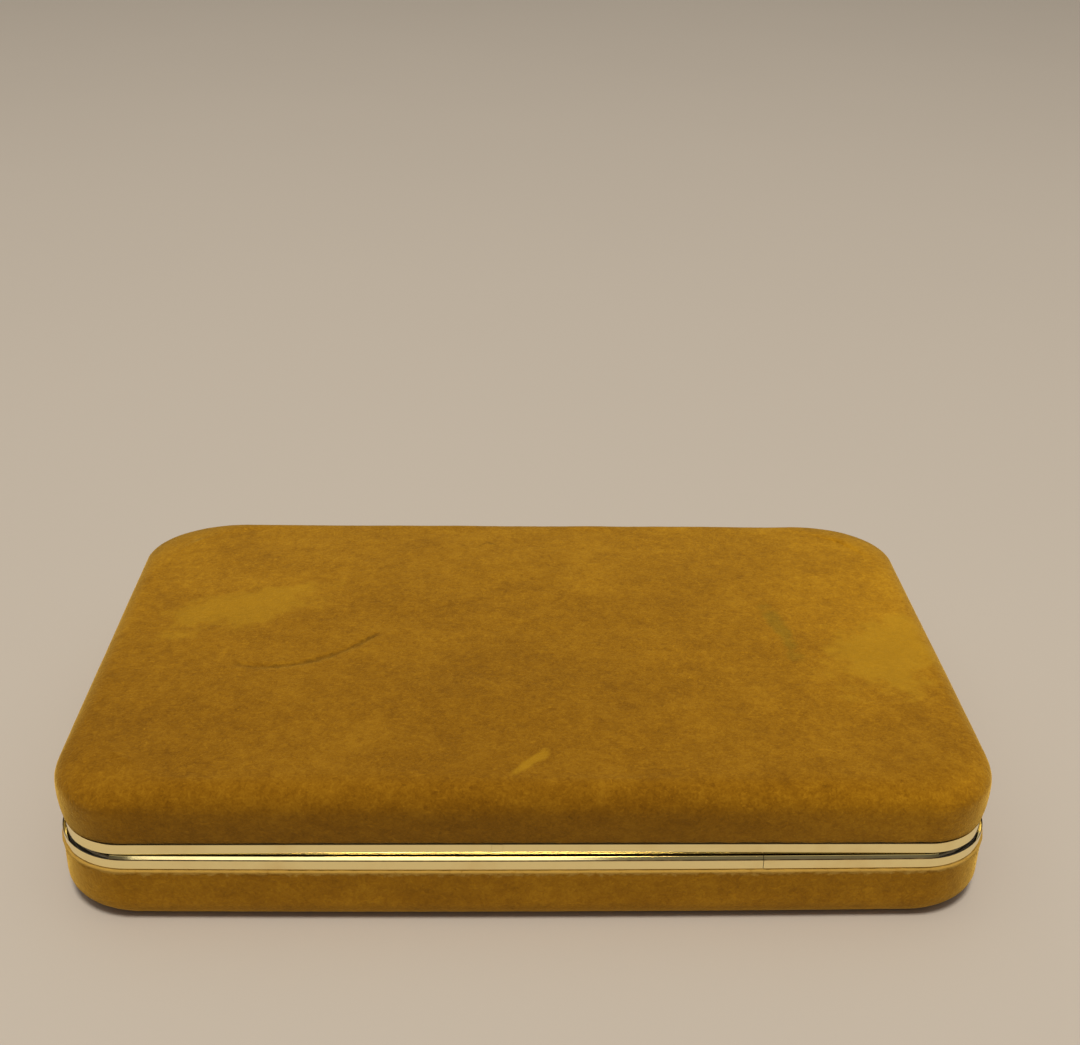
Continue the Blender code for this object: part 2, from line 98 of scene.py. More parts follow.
# The velvet covers.
STEP = 0.8 * MM
VELVET = 0.8 * MM
PILE_EDGE = 0.35 * MM
LID_BULGE = 0.95 * MM
LID_EDGE_GAP = 0.28 * MM
LID_SHOULDER = 26.8 * MM
LID_TOP = 32.0 * MM
LID_FILLET = 5.2 * MM
LID_CORNERS = (13.8 * MM, 15.4 * MM, 26 * MM)
LID_CROWN = 0.5 * MM
LID_CROWN_REACH = 32 * MM
BASE_CORNER = 15.6 * MM
BASE_FILLET = 5.5 * MM
FRONT_BOW = 0.5 * MM
ROLL_PROUD = 0.3 * MM
ROLL_REACH = 1.3 * MM

# The pile's tone: the shares of its patches, brush marks, mottle, fuzz and grain, and the tones that are
# its darkest and palest.
PILE_SHARES = (0.17, 0.13, 0.2, 0.32, 0.18)
PILE_CONTRAST = (0.41, 0.59)

# Painted light and shade on the lid's pile: how bright it is painted on its top and down its shaded wall, and
# the painted light added towards the back and each side.
TOP_PAINTED_BRIGHTNESS = 0.885
TOP_PAINTED_LIGHT = {"back": 0.28, "right": 0.38, "left": 0.12}
WALL_PAINTED_SHADE = (0.72, 0.83)
WALL_PAINTED_LIGHT = {"right": 0.45, "left": 0.08}
PAINTED_LIGHT_YELLOWING = 1.15

# The base's pile: how much brighter the foot of its wall is painted, as light bounced up from the floor, and
# the colour along its rolled top edge, partly its paler cut pile and partly a painted highlight.
LOW_WALL_PAINTED_BOUNCE = 1.16
ROLL_EDGE_AND_HIGHLIGHT = (0.54, 0.34, 0.075)

# A crease in the lid's pile: its lowest point, its bend per metre, and where it starts and ends along X.
CREASE = ((-56.8 * MM, -14.3 * MM), 25.6, (-65 * MM, -32 * MM))
CREASE_WIDTH = 0.7 * MM

# Marks on the lid's top. A spot has a centre, half sizes, a turn, a strength and a colour.
# A line has a lowest point, a bend, a half width, ends along X and a strength.
RUBBED = (0.49, 0.265, 0.011)
STAINED = (0.16, 0.13, 0.01)
LID_SPOTS = (
    ((82 * MM, -8 * MM), (16 * MM, 21 * MM), radians(-35), 0.55, RUBBED),
    ((-66 * MM, 11 * MM), (24 * MM, 10 * MM), radians(25), 0.45, RUBBED),
    ((0.5 * MM, -49 * MM), (6 * MM, 1.6 * MM), radians(48), 0.5, RUBBED),
    ((59 * MM, 2 * MM), (3 * MM, 15 * MM), radians(10), 0.35, STAINED),
)
LID_LINES = (
    (*CREASE[:2], 0.95 * MM, CREASE[2], 0.7),
    ((-8.4 * MM, 44.85 * MM), -230, 0.55 * MM, (-12.5 * MM, -5.5 * MM), 0.6),
)

# The gold rims.
BAND_METAL = 0.6 * MM
BASE_BAND_INSET = 0.1 * MM
BASE_BAND_CORNER = 15.6 * MM
BAND_TOP = 15.66 * MM
LEDGE_FOOT = 15.72 * MM
LEDGE_TOP = 16.26 * MM
LEDGE_SLOPE = radians(54)
LEDGE_CREST = 0.1 * MM
CHANNEL_FLOOR = 15.8 * MM
TONGUE_INSET = 3.1 * MM
NOTCH_START = radians(12)
GROOVE_AT = 0.1 * MM
GROOVE_WIDTH = 0.18 * MM
GROOVE_DEPTH = 0.34 * MM
# The rows of the base rim's section, from its lip's top down through its groove, that are painted dark as
# shade.
PAINTED_SHADE_ROWS = range(5, 17)
NOTCH_LIP = 0.22 * MM
NOTCH_DEPTH = 1.56 * MM
LID_BAND_RISE = 0.15 * MM
LID_BAND_FLARE = 0.1 * MM
LID_BAND_INSET = 1.2 * MM
LID_BAND_CORNER = 13.4 * MM
LID_FLANGE_INSET = 2.6 * MM
BASE_SEAM_X = 47 * MM

# The hinges, and the room for them in the rims and linings.
HINGE_X = 52 * MM
HINGE_HALF_ROOM = 12.3 * MM
BASE_NOTCH_Y = 54.9 * MM
BASE_NOTCH_Z = 14.6 * MM
LID_NOTCH_Y = 55.4 * MM
LID_NOTCH_Z = 17.5 * MM
SPRING_BASE_END = (55.3 * MM, 10.2 * MM)
SPRING_LID_END = (54.3 * MM, 21.9 * MM)
SPRING_SAG = 2.55 * MM
SPRING_METAL = 0.35 * MM

# The linings and pads.
STRIP_THICKNESS = {"tray_lining": 0.8 * MM, "lid_side_lining": 0.6 * MM}
STRIP_CORNER = {"tray_lining": 13.5 * MM, "lid_side_lining": 12.4 * MM}
TRAY_LINING_ROOM = (55.2 * MM, 7.7 * MM, 17 * MM)
LID_LINING_ROOM = (54.4 * MM, 16 * MM, 25.3 * MM)
SATIN_CORNER = 13 * MM
SATIN_PRESSURE = 3.0
SATIN_SPARE = 0.02
SATIN_SWELL = 1.2 * MM
SATIN_WAVES = 0.4 * MM
PAD_CORNER = 13 * MM
PAD_CROWN = 1.1 * MM
PAD_REACH = 26 * MM
SLIT_HALF = 0.35 * MM
SLIT_DEPTH = 5 * MM
SLIT_DIP = 1.1 * MM
RIBBON_HALF = 4 * MM


# Meshes


def mesh_object(name, bm, material, body, smooth_angle=40):
    """Makes a bmesh a named piece that rides on a body."""
    bmesh.ops.recalc_face_normals(bm, faces=bm.faces)
    mesh = bpy.data.meshes.new(name)
    bm.to_mesh(mesh)
    bm.free()
    mesh.shade_smooth()
    mesh.set_sharp_from_angle(angle=radians(smooth_angle))
    mesh.materials.append(material)
    piece = bpy.data.objects.new(name, mesh)
    bpy.context.scene.collection.objects.link(piece)
    if body:
        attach(piece, body)
    return piece


class Outline:
    """A rounded rectangle seen from above, whose insets all have the same number of points."""

    def __init__(self, half_x, half_y, step, centre_y=0.0):
        self.half_x = half_x
        self.half_y = half_y
        self.centre_y = centre_y
        self.corner_count = 2 * max(4, round(0.12 * half_y * 2 / step))
        self.count_x = round(2 * half_x * 0.8 / step)
        self.count_y = round(2 * half_y * 0.7 / step)

    def ring(self, inset, z, corner):
        """Points round the outline, anticlockwise from the right side's far end."""
        wide, deep = self.half_x - inset, self.half_y - inset
        points = []
        for quarter, (sx, sy) in enumerate(((1, 1), (-1, 1), (-1, -1), (1, -1))):
            centre = Vector((sx * (wide - corner), self.centre_y + sy * (deep - corner), z))
            for i in range(self.corner_count):
                angle = (quarter + i / self.corner_count) * pi / 2
                points.append(centre + corner * Vector((cos(angle), sin(angle), 0)))
            turn = (quarter + 1) * pi / 2
            start = centre + corner * Vector((cos(turn), sin(turn), 0))
            heading = Vector((-sin(turn), cos(turn), 0))
            along_x = quarter % 2 == 0
            length = 2 * ((wide if along_x else deep) - corner)
            count = self.count_x if along_x else self.count_y
            points += [start + heading * (length * i / count) for i in range(count)]
        return points

    def fill(self, bm, row, height=None):
        """Closes a ring of vertices with a grid of quads, whose height(x, y) may be given."""
        columns = self.corner_count + self.count_x
        rows = self.corner_count + self.count_y
        start = len(row) // 2 + self.corner_count // 2

        def at(i):
            return row[i % len(row)]

        front = [at(start + i) for i in range(columns + 1)]
        right = [at(start + columns + j) for j in range(rows + 1)]
        back = [at(start + 2 * columns + rows - i) for i in range(columns + 1)]
        left = [at(start - j) for j in range(rows + 1)]
        grid = [front]
        for j in range(1, rows):
            v = j / rows
            line = [left[j]]
            for i in range(1, columns):
                u = i / columns
                corners = (front[0].co * (1 - u) + front[-1].co * u) * (1 - v)
                corners += (back[0].co * (1 - u) + back[-1].co * u) * v
                place = front[i].co * (1 - v) + back[i].co * v + left[j].co * (1 - u) + right[j].co * u
                place -= corners
                if height:
                    place.z = height(place.x, place.y)
                line.append(bm.verts.new(place))
            grid.append(line + [right[j]])
        grid.append(back)
        for low, high in zip(grid, grid[1:]):
            for i in range(columns):
                bm.faces.new((low[i], low[i + 1], high[i + 1], high[i]))


def join_rings(rings, looped=False):
    """A bmesh of rings of quads, and its rows of vertices."""
    bm = bmesh.new()
    rows = [[bm.verts.new(p) for p in points] for points in rings]
    pairs = list(zip(rows, rows[1:]))
    if looped:
        pairs.append((rows[-1], rows[0]))
    for low, high in pairs:
        for i in range(len(low)):
            after = (i + 1) % len(low)
            bm.faces.new((low[i], low[after], high[after], high[i]))
    return bm, rows


def share_out(low, high, step):
    """Values from low to high, about a step apart."""
    count = max(1, round(abs(high - low) / step))
    return [low + (high - low) * i / count for i in range(count + 1)]


def clouds(point, size, seed=0.0, octaves=3):
    """Smooth noise from about -1 to 1, whose lumps are about that size."""
    return noise.fractal(Vector(point) / size + Vector((seed, seed * 1.7, -seed)), 0.6, 2.0, octaves)


def push_out(bm, amount):
    """Moves each vertex along its normal by what amount(position) says."""
    bm.normal_update()
    moves = [(v, v.normal * amount(v.co)) for v in bm.verts]
    for vertex, move in moves:
        vertex.co += move


def out_of_strip(route, i):
    """The way out of the upper face of a strip whose route lies in the Y-Z plane, at its point i."""
    ahead = route[min(i + 1, len(route) - 1)] - route[max(i - 1, 0)]
    return Vector((0, -ahead.z, ahead.y)).normalized()


def ease(share):
    """A rise from 0 to 1 that is level at both ends."""
    share = max(0.0, min(1.0, share))
    return share * share * (3 - 2 * share)


def apply_modifiers(piece):
    """Makes a piece's modifiers part of its mesh."""
    evaluated = piece.evaluated_get(bpy.context.evaluated_depsgraph_get())
    mesh = bpy.data.meshes.new_from_object(evaluated)
    piece.modifiers.clear()
    piece.data = mesh


def smoothed(piece, levels=1):
    """Subdivides a piece once its form is final."""
    modifier = piece.modifiers.new("subdivision", "SUBSURF")
    modifier.levels = modifier.render_levels = levels
    apply_modifiers(piece)


def swell(piece, holds, pressure, spare, most, frames=24):
    """Blows a piece up like stuffed cloth, apart from the vertices that holds(position) names."""
    group = piece.vertex_groups.new(name="held")
    held = [v.index for v in piece.data.vertices if holds(v.co)]
    group.add(held, 1.0, "REPLACE")
    modifier = piece.modifiers.new("cloth", "CLOTH")
    settings = modifier.settings
    settings.vertex_group_mass = "held"
    settings.use_pressure = True
    settings.uniform_pressure_force = pressure
    settings.shrink_min = -spare
    settings.quality = 6
    settings.bending_stiffness = 0.05
    settings.effector_weights.gravity = 0
    modifier.point_cache.frame_start = 1
    modifier.point_cache.frame_end = frames
    for frame_number in range(1, frames + 1):
        bpy.context.scene.frame_set(frame_number)
    evaluated = piece.evaluated_get(bpy.context.evaluated_depsgraph_get())
    moved = [v.co.copy() for v in evaluated.data.vertices]
    piece.modifiers.clear()
    piece.vertex_groups.clear()
    bpy.context.scene.frame_set(1)
    for vertex, place in zip(piece.data.vertices, moved):
        move = place - vertex.co
        if move.length > most:
            move *= most / move.length
        vertex.co += move


# Materials


class Shader:
    """A material whose nodes are added one at a time."""

    def __init__(self, name):
        self.material = bpy.data.materials.new(name)
        self.material.use_nodes = True
        self.tree = self.material.node_tree
        self.surface = self.tree.nodes["Principled BSDF"]

    def node(self, kind, inputs=None, **settings):
        made = self.tree.nodes.new("ShaderNode" + kind)
        for key, value in settings.items():
            setattr(made, key, value)
        for key, value in (inputs or {}).items():
            self.put(made.inputs[key], value)
        return made

    def put(self, socket, value):
        if isinstance(value, bpy.types.NodeSocket):
            self.tree.links.new(value, socket)
        else:
            socket.default_value = value

    def set(self, **values):
        for key, value in values.items():
            self.put(self.surface.inputs[key.replace("_", " ")], value)

    def place(self, scale=(1, 1, 1), turn=0.0):
        """Object coordinates, stretched and turned about Z."""
        inputs = {"Vector": self.node("TexCoord").outputs["Object"], "Rotation": (0, 0, turn), "Scale": scale}
        return self.node("Mapping", inputs).outputs["Vector"]

    def axes(self, source="TexCoord", output="Object"):
        """The X, Y and Z of object coordinates, or of another vector."""
        split = self.node("SeparateXYZ", {"Vector": self.node(source).outputs[output]})
        return split.outputs["X"], split.outputs["Y"], split.outputs["Z"]

    def vector(self, operation, a, b=(0, 0, 0), output="Vector"):
        return self.node("VectorMath", {0: a, 1: b}, operation=operation).outputs[output]

    def cloud(self, scale, detail=3.0, rough=0.55, where=None, twist=0.0):
        """Noise around 0.5, whose lumps are about 1 / scale metres."""
        inputs = {"Vector": self.place() if where is None else where}
        inputs.update({"Scale": scale, "Detail": detail, "Roughness": rough, "Distortion": twist})
        return self.node("TexNoise", inputs).outputs["Fac"]

    def spread(self, value, low, high, to_low=0.0, to_high=1.0, smooth=False):
        """What a value from low to high becomes between to_low and to_high."""
        inputs = {"Value": value, "From Min": low, "From Max": high, "To Min": to_low, "To Max": to_high}
        kind = "SMOOTHSTEP" if smooth else "LINEAR"
        return self.node("MapRange", inputs, interpolation_type=kind).outputs["Result"]

    def math(self, operation, value, *others):
        """An operation on a value, or on it and each of the others in turn."""
        for other in others or (0.0,):
            value = self.node("Math", {0: value, 1: other}, operation=operation).outputs["Value"]
        return value

    def mix(self, share, a, b, blend="MIX"):
        made = self.node("Mix", data_type="RGBA", blend_type=blend)
        for socket, value in zip((made.inputs["Factor"], made.inputs[6], made.inputs[7]), (share, a, b)):
            self.put(socket, (*value, 1) if isinstance(value, tuple) and len(value) == 3 else value)
        return made.outputs[2]

    def grey(self, value):
        return self.node("CombineColor", {"Red": value, "Green": value, "Blue": value}).outputs["Color"]

    def bump(self, height, distance, strength=1.0, normal=None):
        inputs = {"Height": height, "Distance": distance, "Strength": strength}
        if normal is not None:
            inputs["Normal"] = normal
        return self.node("Bump", inputs).outputs["Normal"]


def curve_mark(shader, lowest, bend, width, x_from, x_to):
    """1 along a thin curve on the lid's top, bent like a parabola, and 0 away from it."""
    x, y, _ = shader.axes()
    across = shader.math("SUBTRACT", x, lowest[0])
    curve = shader.math("MULTIPLY", across, across, bend)
    wobble = shader.spread(shader.cloud(600, 4, 0.7), 0.3, 0.7, -0.55 * MM, 0.55 * MM)
    off = shader.math("SUBTRACT", shader.math("ADD", y, wobble), curve, lowest[1])
    slope = shader.math("MULTIPLY", across, 2 * bend)
    slant = shader.math("SQRT", shader.math("ADD", shader.math("MULTIPLY", slope, slope), 1))
    reach = shader.math("ABSOLUTE", shader.math("DIVIDE", off, slant))
    line = shader.spread(reach, width * 0.3, width, 1, 0, smooth=True)
    fade = 2.5 * MM
    starts = shader.spread(x, x_from, x_from + fade, 0, 1, smooth=True)
    ends = shader.spread(x, x_to - fade, x_to, 1, 0, smooth=True)
    broken = shader.spread(shader.cloud(330, 3, 0.6), 0.38, 0.6, 0.3, 1)
    stronger = shader.spread(x, x_from, x_to, 0.6, 1)
    return shader.math("MULTIPLY", line, broken, stronger, starts, ends)


def spot_mark(shader, centre, size, turn=0.0):
    """1 inside a soft-edged oval seen from above, and 0 outside it."""
    local = shader.vector("SUBTRACT", shader.node("TexCoord").outputs["Object"], (*centre, 0))
    turned = shader.node("VectorRotate", {"Vector": local, "Angle": turn}, rotation_type="Z_AXIS")
    oval = shader.vector("MULTIPLY", turned.outputs["Vector"], (1 / size[0], 1 / size[1], 0))
    reach = shader.vector("LENGTH", oval, output="Value")
    ragged = shader.math("ADD", reach, shader.spread(shader.cloud(170, 4), 0.3, 0.7, -0.35, 0.35))
    return shader.spread(ragged, 0.45, 1.0, 1, 0, smooth=True)


def velvet(name, deep, plain, light, glow, zones=None):
    """Short pile: patches brushed this way and that, a fuzzy grain, pale scuffs, and a sheen on its tips."""
    shader = Shader(name)
    patches = shader.cloud(38, 4, 0.6, twist=0.6)
    brushed = shader.cloud(1.0, 4, 0.6, shader.place((110, 150, 150), radians(50)))
    mottle = shader.cloud(380, 4, 0.7)
    fuzz = shader.cloud(950, 4, 0.75, twist=1.0)
    grain = shader.cloud(1900, 3, 0.75)
    parts = zip((patches, brushed, mottle, fuzz, grain), PILE_SHARES)
    tone = shader.math("ADD", *(shader.math("MULTIPLY", part, share) for part, share in parts))
    lit = shader.spread(tone, *PILE_CONTRAST)
    colour = shader.mix(shader.spread(lit, 0.0, 0.5), deep, plain)
    colour = shader.mix(shader.spread(lit, 0.5, 1.0), colour, light)
    pale = tuple(min(1, c * 1.3) for c in light)
    for turn, seed in ((35, 0.0), (-50, 3.1)):
        where = shader.place((330, 1150, 700), radians(turn))
        where = shader.vector("ADD", where, (seed, seed, seed))
        scuffs = shader.spread(shader.cloud(1.0, 3, 0.65, where, 0.4), 0.62, 0.76, 0, 0.5)
        colour = shader.mix(scuffs, colour, pale)
    tufts = shader.spread(shader.cloud(480, 3, 0.6, twist=2.5), 0.64, 0.74, 0, 0.6)
    colour = shader.mix(tufts, colour, pale)
    specks = shader.spread(shader.cloud(560, 3, 0.6, shader.place((1, 1.3, 1), 1.0)), 0.67, 0.75, 0, 0.5)
    colour = shader.mix(specks, colour, tuple(c * 0.6 for c in deep))
    if zones:
        colour = zones(shader, colour, deep, light)
    shader.set(Base_Color=colour, Roughness=0.95, Specular_IOR_Level=0.08)
    shader.set(Sheen_Weight=1.0, Sheen_Roughness=0.4, Sheen_Tint=(*glow, 1))
    pile = shader.bump(grain, 0.2 * MM, 0.8)
    shader.set(Normal=shader.bump(mottle, 0.2 * MM, 0.5, pile))
    return shader.material


def base_edge_and_painted_light(shader, colour, deep, light):
    """The base's rolled top edge is paler, partly its own pile and partly a painted highlight, and the foot
    of its wall is painted brighter, as light bounced up from the floor.
    """
    z = shader.axes()[2]
    # The rolled top edge: partly the pile's paler edge, partly a painted highlight where it catches the light
    # from above.
    ragged = shader.math("ADD", z, shader.spread(shader.cloud(620, 4, 0.7), 0.3, 0.7, -0.8 * MM, 0.8 * MM))
    edge = shader.spread(ragged, BASE_TOP - ROLL_REACH, BASE_TOP - 0.3 * MM, 0, 0.75, smooth=True)
    # Painted light: the foot of the wall is painted brighter, as light bounced up from the floor.
    low = shader.grey(shader.spread(z, 1 * MM, 8 * MM, LOW_WALL_PAINTED_BOUNCE, 1))
    return shader.mix(edge, shader.mix(1.0, colour, low, "MULTIPLY"), ROLL_EDGE_AND_HIGHLIGHT)


def lid_painted_light(shader, colour):
    """Painted light and shade on the lid: its top painted paler towards the back and both sides, and its wall
    painted darker, as the light falls.
    """
    plain_x, plain_y, plain_z = shader.axes()
    drift = shader.spread(shader.cloud(26, 3), 0.3, 0.7, -14 * MM, 14 * MM)
    y = shader.math("ADD", plain_y, drift)
    x = shader.math("ADD", plain_x, drift)
    # Painted light: the top is painted paler towards the back and both sides.
    back = shader.spread(y, -45 * MM, 50 * MM, 0, TOP_PAINTED_LIGHT["back"])
    right = shader.spread(x, 15 * MM, 95 * MM, 0, TOP_PAINTED_LIGHT["right"])
    right = shader.math("MULTIPLY", right, shader.spread(y, -80 * MM, 5 * MM))
    left = shader.spread(x, -35 * MM, -90 * MM, 0, TOP_PAINTED_LIGHT["left"])
    left = shader.math("MULTIPLY", left, shader.spread(y, -10 * MM, 30 * MM))
    bright = shader.math("ADD", back, TOP_PAINTED_BRIGHTNESS, left, right)
    ragged = shader.spread(shader.cloud(230, 4, 0.65), 0.3, 0.7, -1.6 * MM, 1.6 * MM)
    z = shader.math("ADD", plain_z, ragged)
    # Painted shade: the wall is painted darker, and a little less so towards each side.
    wall = shader.spread(z, LID_SHOULDER - 0.2 * MM, LID_SHOULDER + 2.4 * MM, *WALL_PAINTED_SHADE, smooth=True)
    wall_right = shader.spread(x, 35 * MM, 92 * MM, 0, WALL_PAINTED_LIGHT["right"])
    wall_left = shader.spread(x, -62 * MM, -90 * MM, 0, WALL_PAINTED_LIGHT["left"])
    fold = shader.spread(plain_z, LID_SHOULDER + 2.9 * MM, LID_TOP + 0.2 * MM, 0, 1, smooth=True)
    top = shader.math("MULTIPLY", bright, fold)
    wall = shader.math("ADD", wall, wall_right, wall_left)
    rest = shader.math("MULTIPLY", wall, shader.math("SUBTRACT", 1, fold))
    nap_and_painted_light = shader.math("ADD", top, rest)
    yellow = shader.math("POWER", nap_and_painted_light, PAINTED_LIGHT_YELLOWING)
    tint = shader.node("CombineColor", {"Red": nap_and_painted_light, "Green": yellow, "Blue": nap_and_painted_light}).outputs["Color"]
    return shader.mix(1.0, colour, tint, "MULTIPLY")


def lid_zones(shader, colour, deep, light):
    """The lid's painted light and shade, and where its pile is creased, rubbed, brushed pale or faintly
    stained.
    """
    # Painted light and shade first, then the pile's own marks.
    colour = lid_painted_light(shader, colour)
    up = shader.axes("NewGeometry", "Normal")[2]
    on_top = shader.spread(up, 0.5, 0.9)
    for centre, size, turn, strength, tint in LID_SPOTS:
        mask = shader.math("MULTIPLY", spot_mark(shader, centre, size, -turn), on_top)
        colour = shader.mix(shader.math("MULTIPLY", mask, strength), colour, tint)
    dark = tuple(c * 0.4 for c in deep)
    for lowest, bend, width, (x_from, x_to), strength in LID_LINES:
        mask = shader.math("MULTIPLY", curve_mark(shader, lowest, bend, width, x_from, x_to), on_top)
        colour = shader.mix(shader.math("MULTIPLY", mask, strength), colour, dark)
    return colour


def brass(name, colour, rough, scratch=1.0):
    """Gold-coloured plate: faint drawing lines along the strip, dull patches and fine scratches."""
    shader = Shader(name)
    dull = shader.cloud(70, 4, 0.6)
    lines = shader.cloud(1.0, 3, 0.6, shader.place((60, 60, 7000)))
    scratches = shader.cloud(1.0, 5, 0.75, shader.place((900, 260, 2500), radians(17)))
    worn = tuple(c * f for c, f in zip(colour, (0.82, 0.7, 0.55)))
    tarnish = shader.spread(dull, 0.5, 0.78, 0, 0.6)
    shader.set(Base_Color=shader.mix(tarnish, colour, worn), Metallic=1.0)
    shader.set(Roughness=shader.spread(dull, 0.3, 0.75, rough * 0.85, rough * 1.35))
    fine = shader.bump(lines, 0.01 * MM, 0.15 * scratch)
    shader.set(Normal=shader.bump(scratches, 0.01 * MM, 0.15 * scratch, fine))
    return shader.material


def groove_shade_paint(name, dark, light):
    """Painted shade in the groove of a gold rim: an uneven dark matte colour that stands for the shadow
    there.
    """
    shader = Shader(name)
    uneven = shader.spread(shader.cloud(260, 4, 0.7), 0.45, 0.7)
    shader.set(Base_Color=shader.mix(uneven, dark, light), Roughness=0.8)
    return shader.material


def steel(name, colour, rough):
    """Dull rolled sheet, with grain along X and light rust spots."""
    shader = Shader(name)
    rolled = shader.cloud(1.0, 3, 0.6, shader.place((60, 2600, 2600)))
    spots = shader.spread(shader.cloud(420, 4, 0.7), 0.62, 0.75, 0, 0.5)
    shader.set(Base_Color=shader.mix(spots, colour, (0.2, 0.12, 0.06)), Metallic=0.9)
    shader.set(Roughness=shader.spread(rolled, 0.3, 0.7, rough * 0.8, rough * 1.3))
    shader.set(Normal=shader.bump(rolled, 0.02 * MM, 0.4))
    return shader.material


def satin(name, plain, shade):
    """Ivory satin: smooth long floats, so the gloss runs across fine parallel threads."""
    shader = Shader(name)
    threads = shader.cloud(1.0, 2, 0.5, shader.place((260, 5200, 5200)))
    ripple = shader.cloud(70, 3, 0.5)
    aged = shader.spread(shader.cloud(28, 4, 0.6), 0.45, 0.75, 0, 0.7)
    shader.set(Base_Color=shader.mix(aged, plain, shade))
    shader.set(Roughness=shader.spread(ripple, 0.3, 0.7, 0.24, 0.38))
    shader.set(Specular_IOR_Level=0.8, Sheen_Weight=0.3, Sheen_Roughness=0.3, Anisotropic=0.5)
    shader.set(Sheen_Tint=(1.0, 0.95, 0.84, 1))
    shader.set(Normal=shader.bump(threads, 0.03 * MM, 0.35))
    return shader.material


def ribbon_cloth(name, colour):
    """Satin ribbon with fine cross ribs."""
    shader = Shader(name)
    place = shader.place()
    ribs = shader.node("TexWave", {"Vector": place, "Scale": 900, "Distortion": 0.5}, bands_direction="Y")
    tone = shader.spread(shader.cloud(200, 3), 0.3, 0.7, 0, 0.5)
    shader.set(Base_Color=shader.mix(tone, colour, tuple(c * 0.6 for c in colour)), Roughness=0.42)
    shader.set(Sheen_Weight=0.3, Specular_IOR_Level=0.5)
    shader.set(Normal=shader.bump(ribs.outputs["Fac"], 0.04 * MM, 0.5))
    return shader.material


def card(name, colour):
    """Grey-brown board, fibrous and flecked."""
    shader = Shader(name)
    fibres = shader.cloud(1.0, 4, 0.7, shader.place((500, 2200, 900), radians(30)))
    flecks = shader.spread(shader.cloud(1500, 2), 0.62, 0.7, 0, 0.7)
    base = shader.mix(shader.spread(fibres, 0.3, 0.7), tuple(c * 0.8 for c in colour), colour)
    shader.set(Base_Color=shader.mix(flecks, base, (0.12, 0.08, 0.05)), Roughness=0.9)
    shader.set(Normal=shader.bump(fibres, 0.06 * MM, 0.5))
    return shader.material


def floor_paint(name, colour):
    shader = Shader(name)
    soft = shader.spread(shader.cloud(3, 3), 0.3, 0.7, 0, 0.25)
    shader.set(Base_Color=shader.mix(soft, colour, tuple(c * 0.93 for c in colour)), Roughness=0.9)
    shader.set(Specular_IOR_Level=0.1)
    return shader.material


# The velvet covers


def lid_corner(share):
    """The corner radius up the lid: share is 0 at its edge, 1 at its shoulder and 2 at its top."""
    edge, shoulder, top = LID_CORNERS
    if share <= 1:
        return edge + (shoulder - edge) * share
    return shoulder + (top - shoulder) * (share - 1)


def crown(x, y):
    """How far the lid's padded top rises above its fillet."""
    rise = LID_CROWN
    for half, off in ((HALF_X, x), (HALF_Y, y)):
        share = (half - LID_FILLET - abs(off)) / LID_CROWN_REACH
        rise *= sin(pi / 2 * max(0.0, min(1.0, share)))
    return rise


def crease(x, y):
    """How close a point is to the crease in the lid's pile: 1 in it, and 0 away from it."""
    (middle_x, middle_y), bend, (first, last) = CREASE
    off = y - middle_y - bend * (x - middle_x) ** 2
    slope = 2 * bend * (x - middle_x)
    reach = abs(off) / sqrt(1 + slope * slope)
    along = ease((x - first) / (3 * MM)) * ease((last - x) / (3 * MM))
    return along * exp(-((reach / CREASE_WIDTH) ** 2))


def soft_lid(point):
    """How far the padded lid stands off its even form."""
    up = ease((point.z - LID_SHOULDER) / (LID_TOP - LID_SHOULDER))
    waves = 0.14 * MM * clouds(point, 36 * MM, 2.0) * up
    nap_and_painted_light = 0.03 * MM * clouds(point, 2.2 * MM, 5.0, 2)
    edge = 0.09 * MM * clouds(point, 2.6 * MM, 8.0, 2) * ease((LID_EDGE + 1.2 * MM - point.z) / MM)
    return waves + nap_and_painted_light + edge - 0.2 * MM * crease(point.x, point.y) * up


def lid_wall(outline, skin, step):
    """Rings up the lid's side and over its fillet, on its outer face or on a skin's depth inside it."""
    rings = []
    low = LID_EDGE + LID_EDGE_GAP + PILE_EDGE
    for z in share_out(low, LID_SHOULDER, step):
        share = (z - LID_EDGE) / (LID_SHOULDER - LID_EDGE)
        bulge = LID_BULGE * (1 - sin(pi / 2 * share))
        rings.append(outline.ring(bulge + skin, z, lid_corner(share) - skin))
    for angle in share_out(0, pi / 2, step / LID_FILLET)[1:]:
        fall = 1 - cos(angle)
        inset = LID_FILLET * fall + skin * cos(angle)
        z = LID_SHOULDER + (LID_TOP - LID_SHOULDER) * sin(angle) - skin * sin(angle)
        rings.append(outline.ring(inset, z, lid_corner(1 + fall) - skin))
    return rings


def make_lid_velvet(material):
    """A skin of velvet, turned under at the lid's edge."""
    outline = Outline(HALF_X, HALF_Y, STEP)
    outer = lid_wall(outline, 0.0, STEP)
    turned = []
    for angle in share_out(0, pi, pi / 6)[1:-1]:
        inset = LID_BULGE + VELVET / 2 - VELVET / 2 * cos(angle)
        z = LID_EDGE + LID_EDGE_GAP + PILE_EDGE * (1 - sin(angle))
        turned.append(outline.ring(inset, z, lid_corner(0)))
    inner = lid_wall(outline, VELVET, 3 * STEP)
    bm, rows = join_rings(outer[::-1] + turned + inner)
    outline.fill(bm, rows[0], lambda x, y: LID_TOP)
    bm.faces.new(rows[-1])
    for vertex in bm.verts:
        vertex.co.z += crown(vertex.co.x, vertex.co.y) * ease((vertex.co.z - LID_SHOULDER) / (2 * MM))
    push_out(bm, soft_lid)
    piece = mesh_object("lid_velvet_cover", bm, material, "lid", 60)
    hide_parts("lid_velvet")


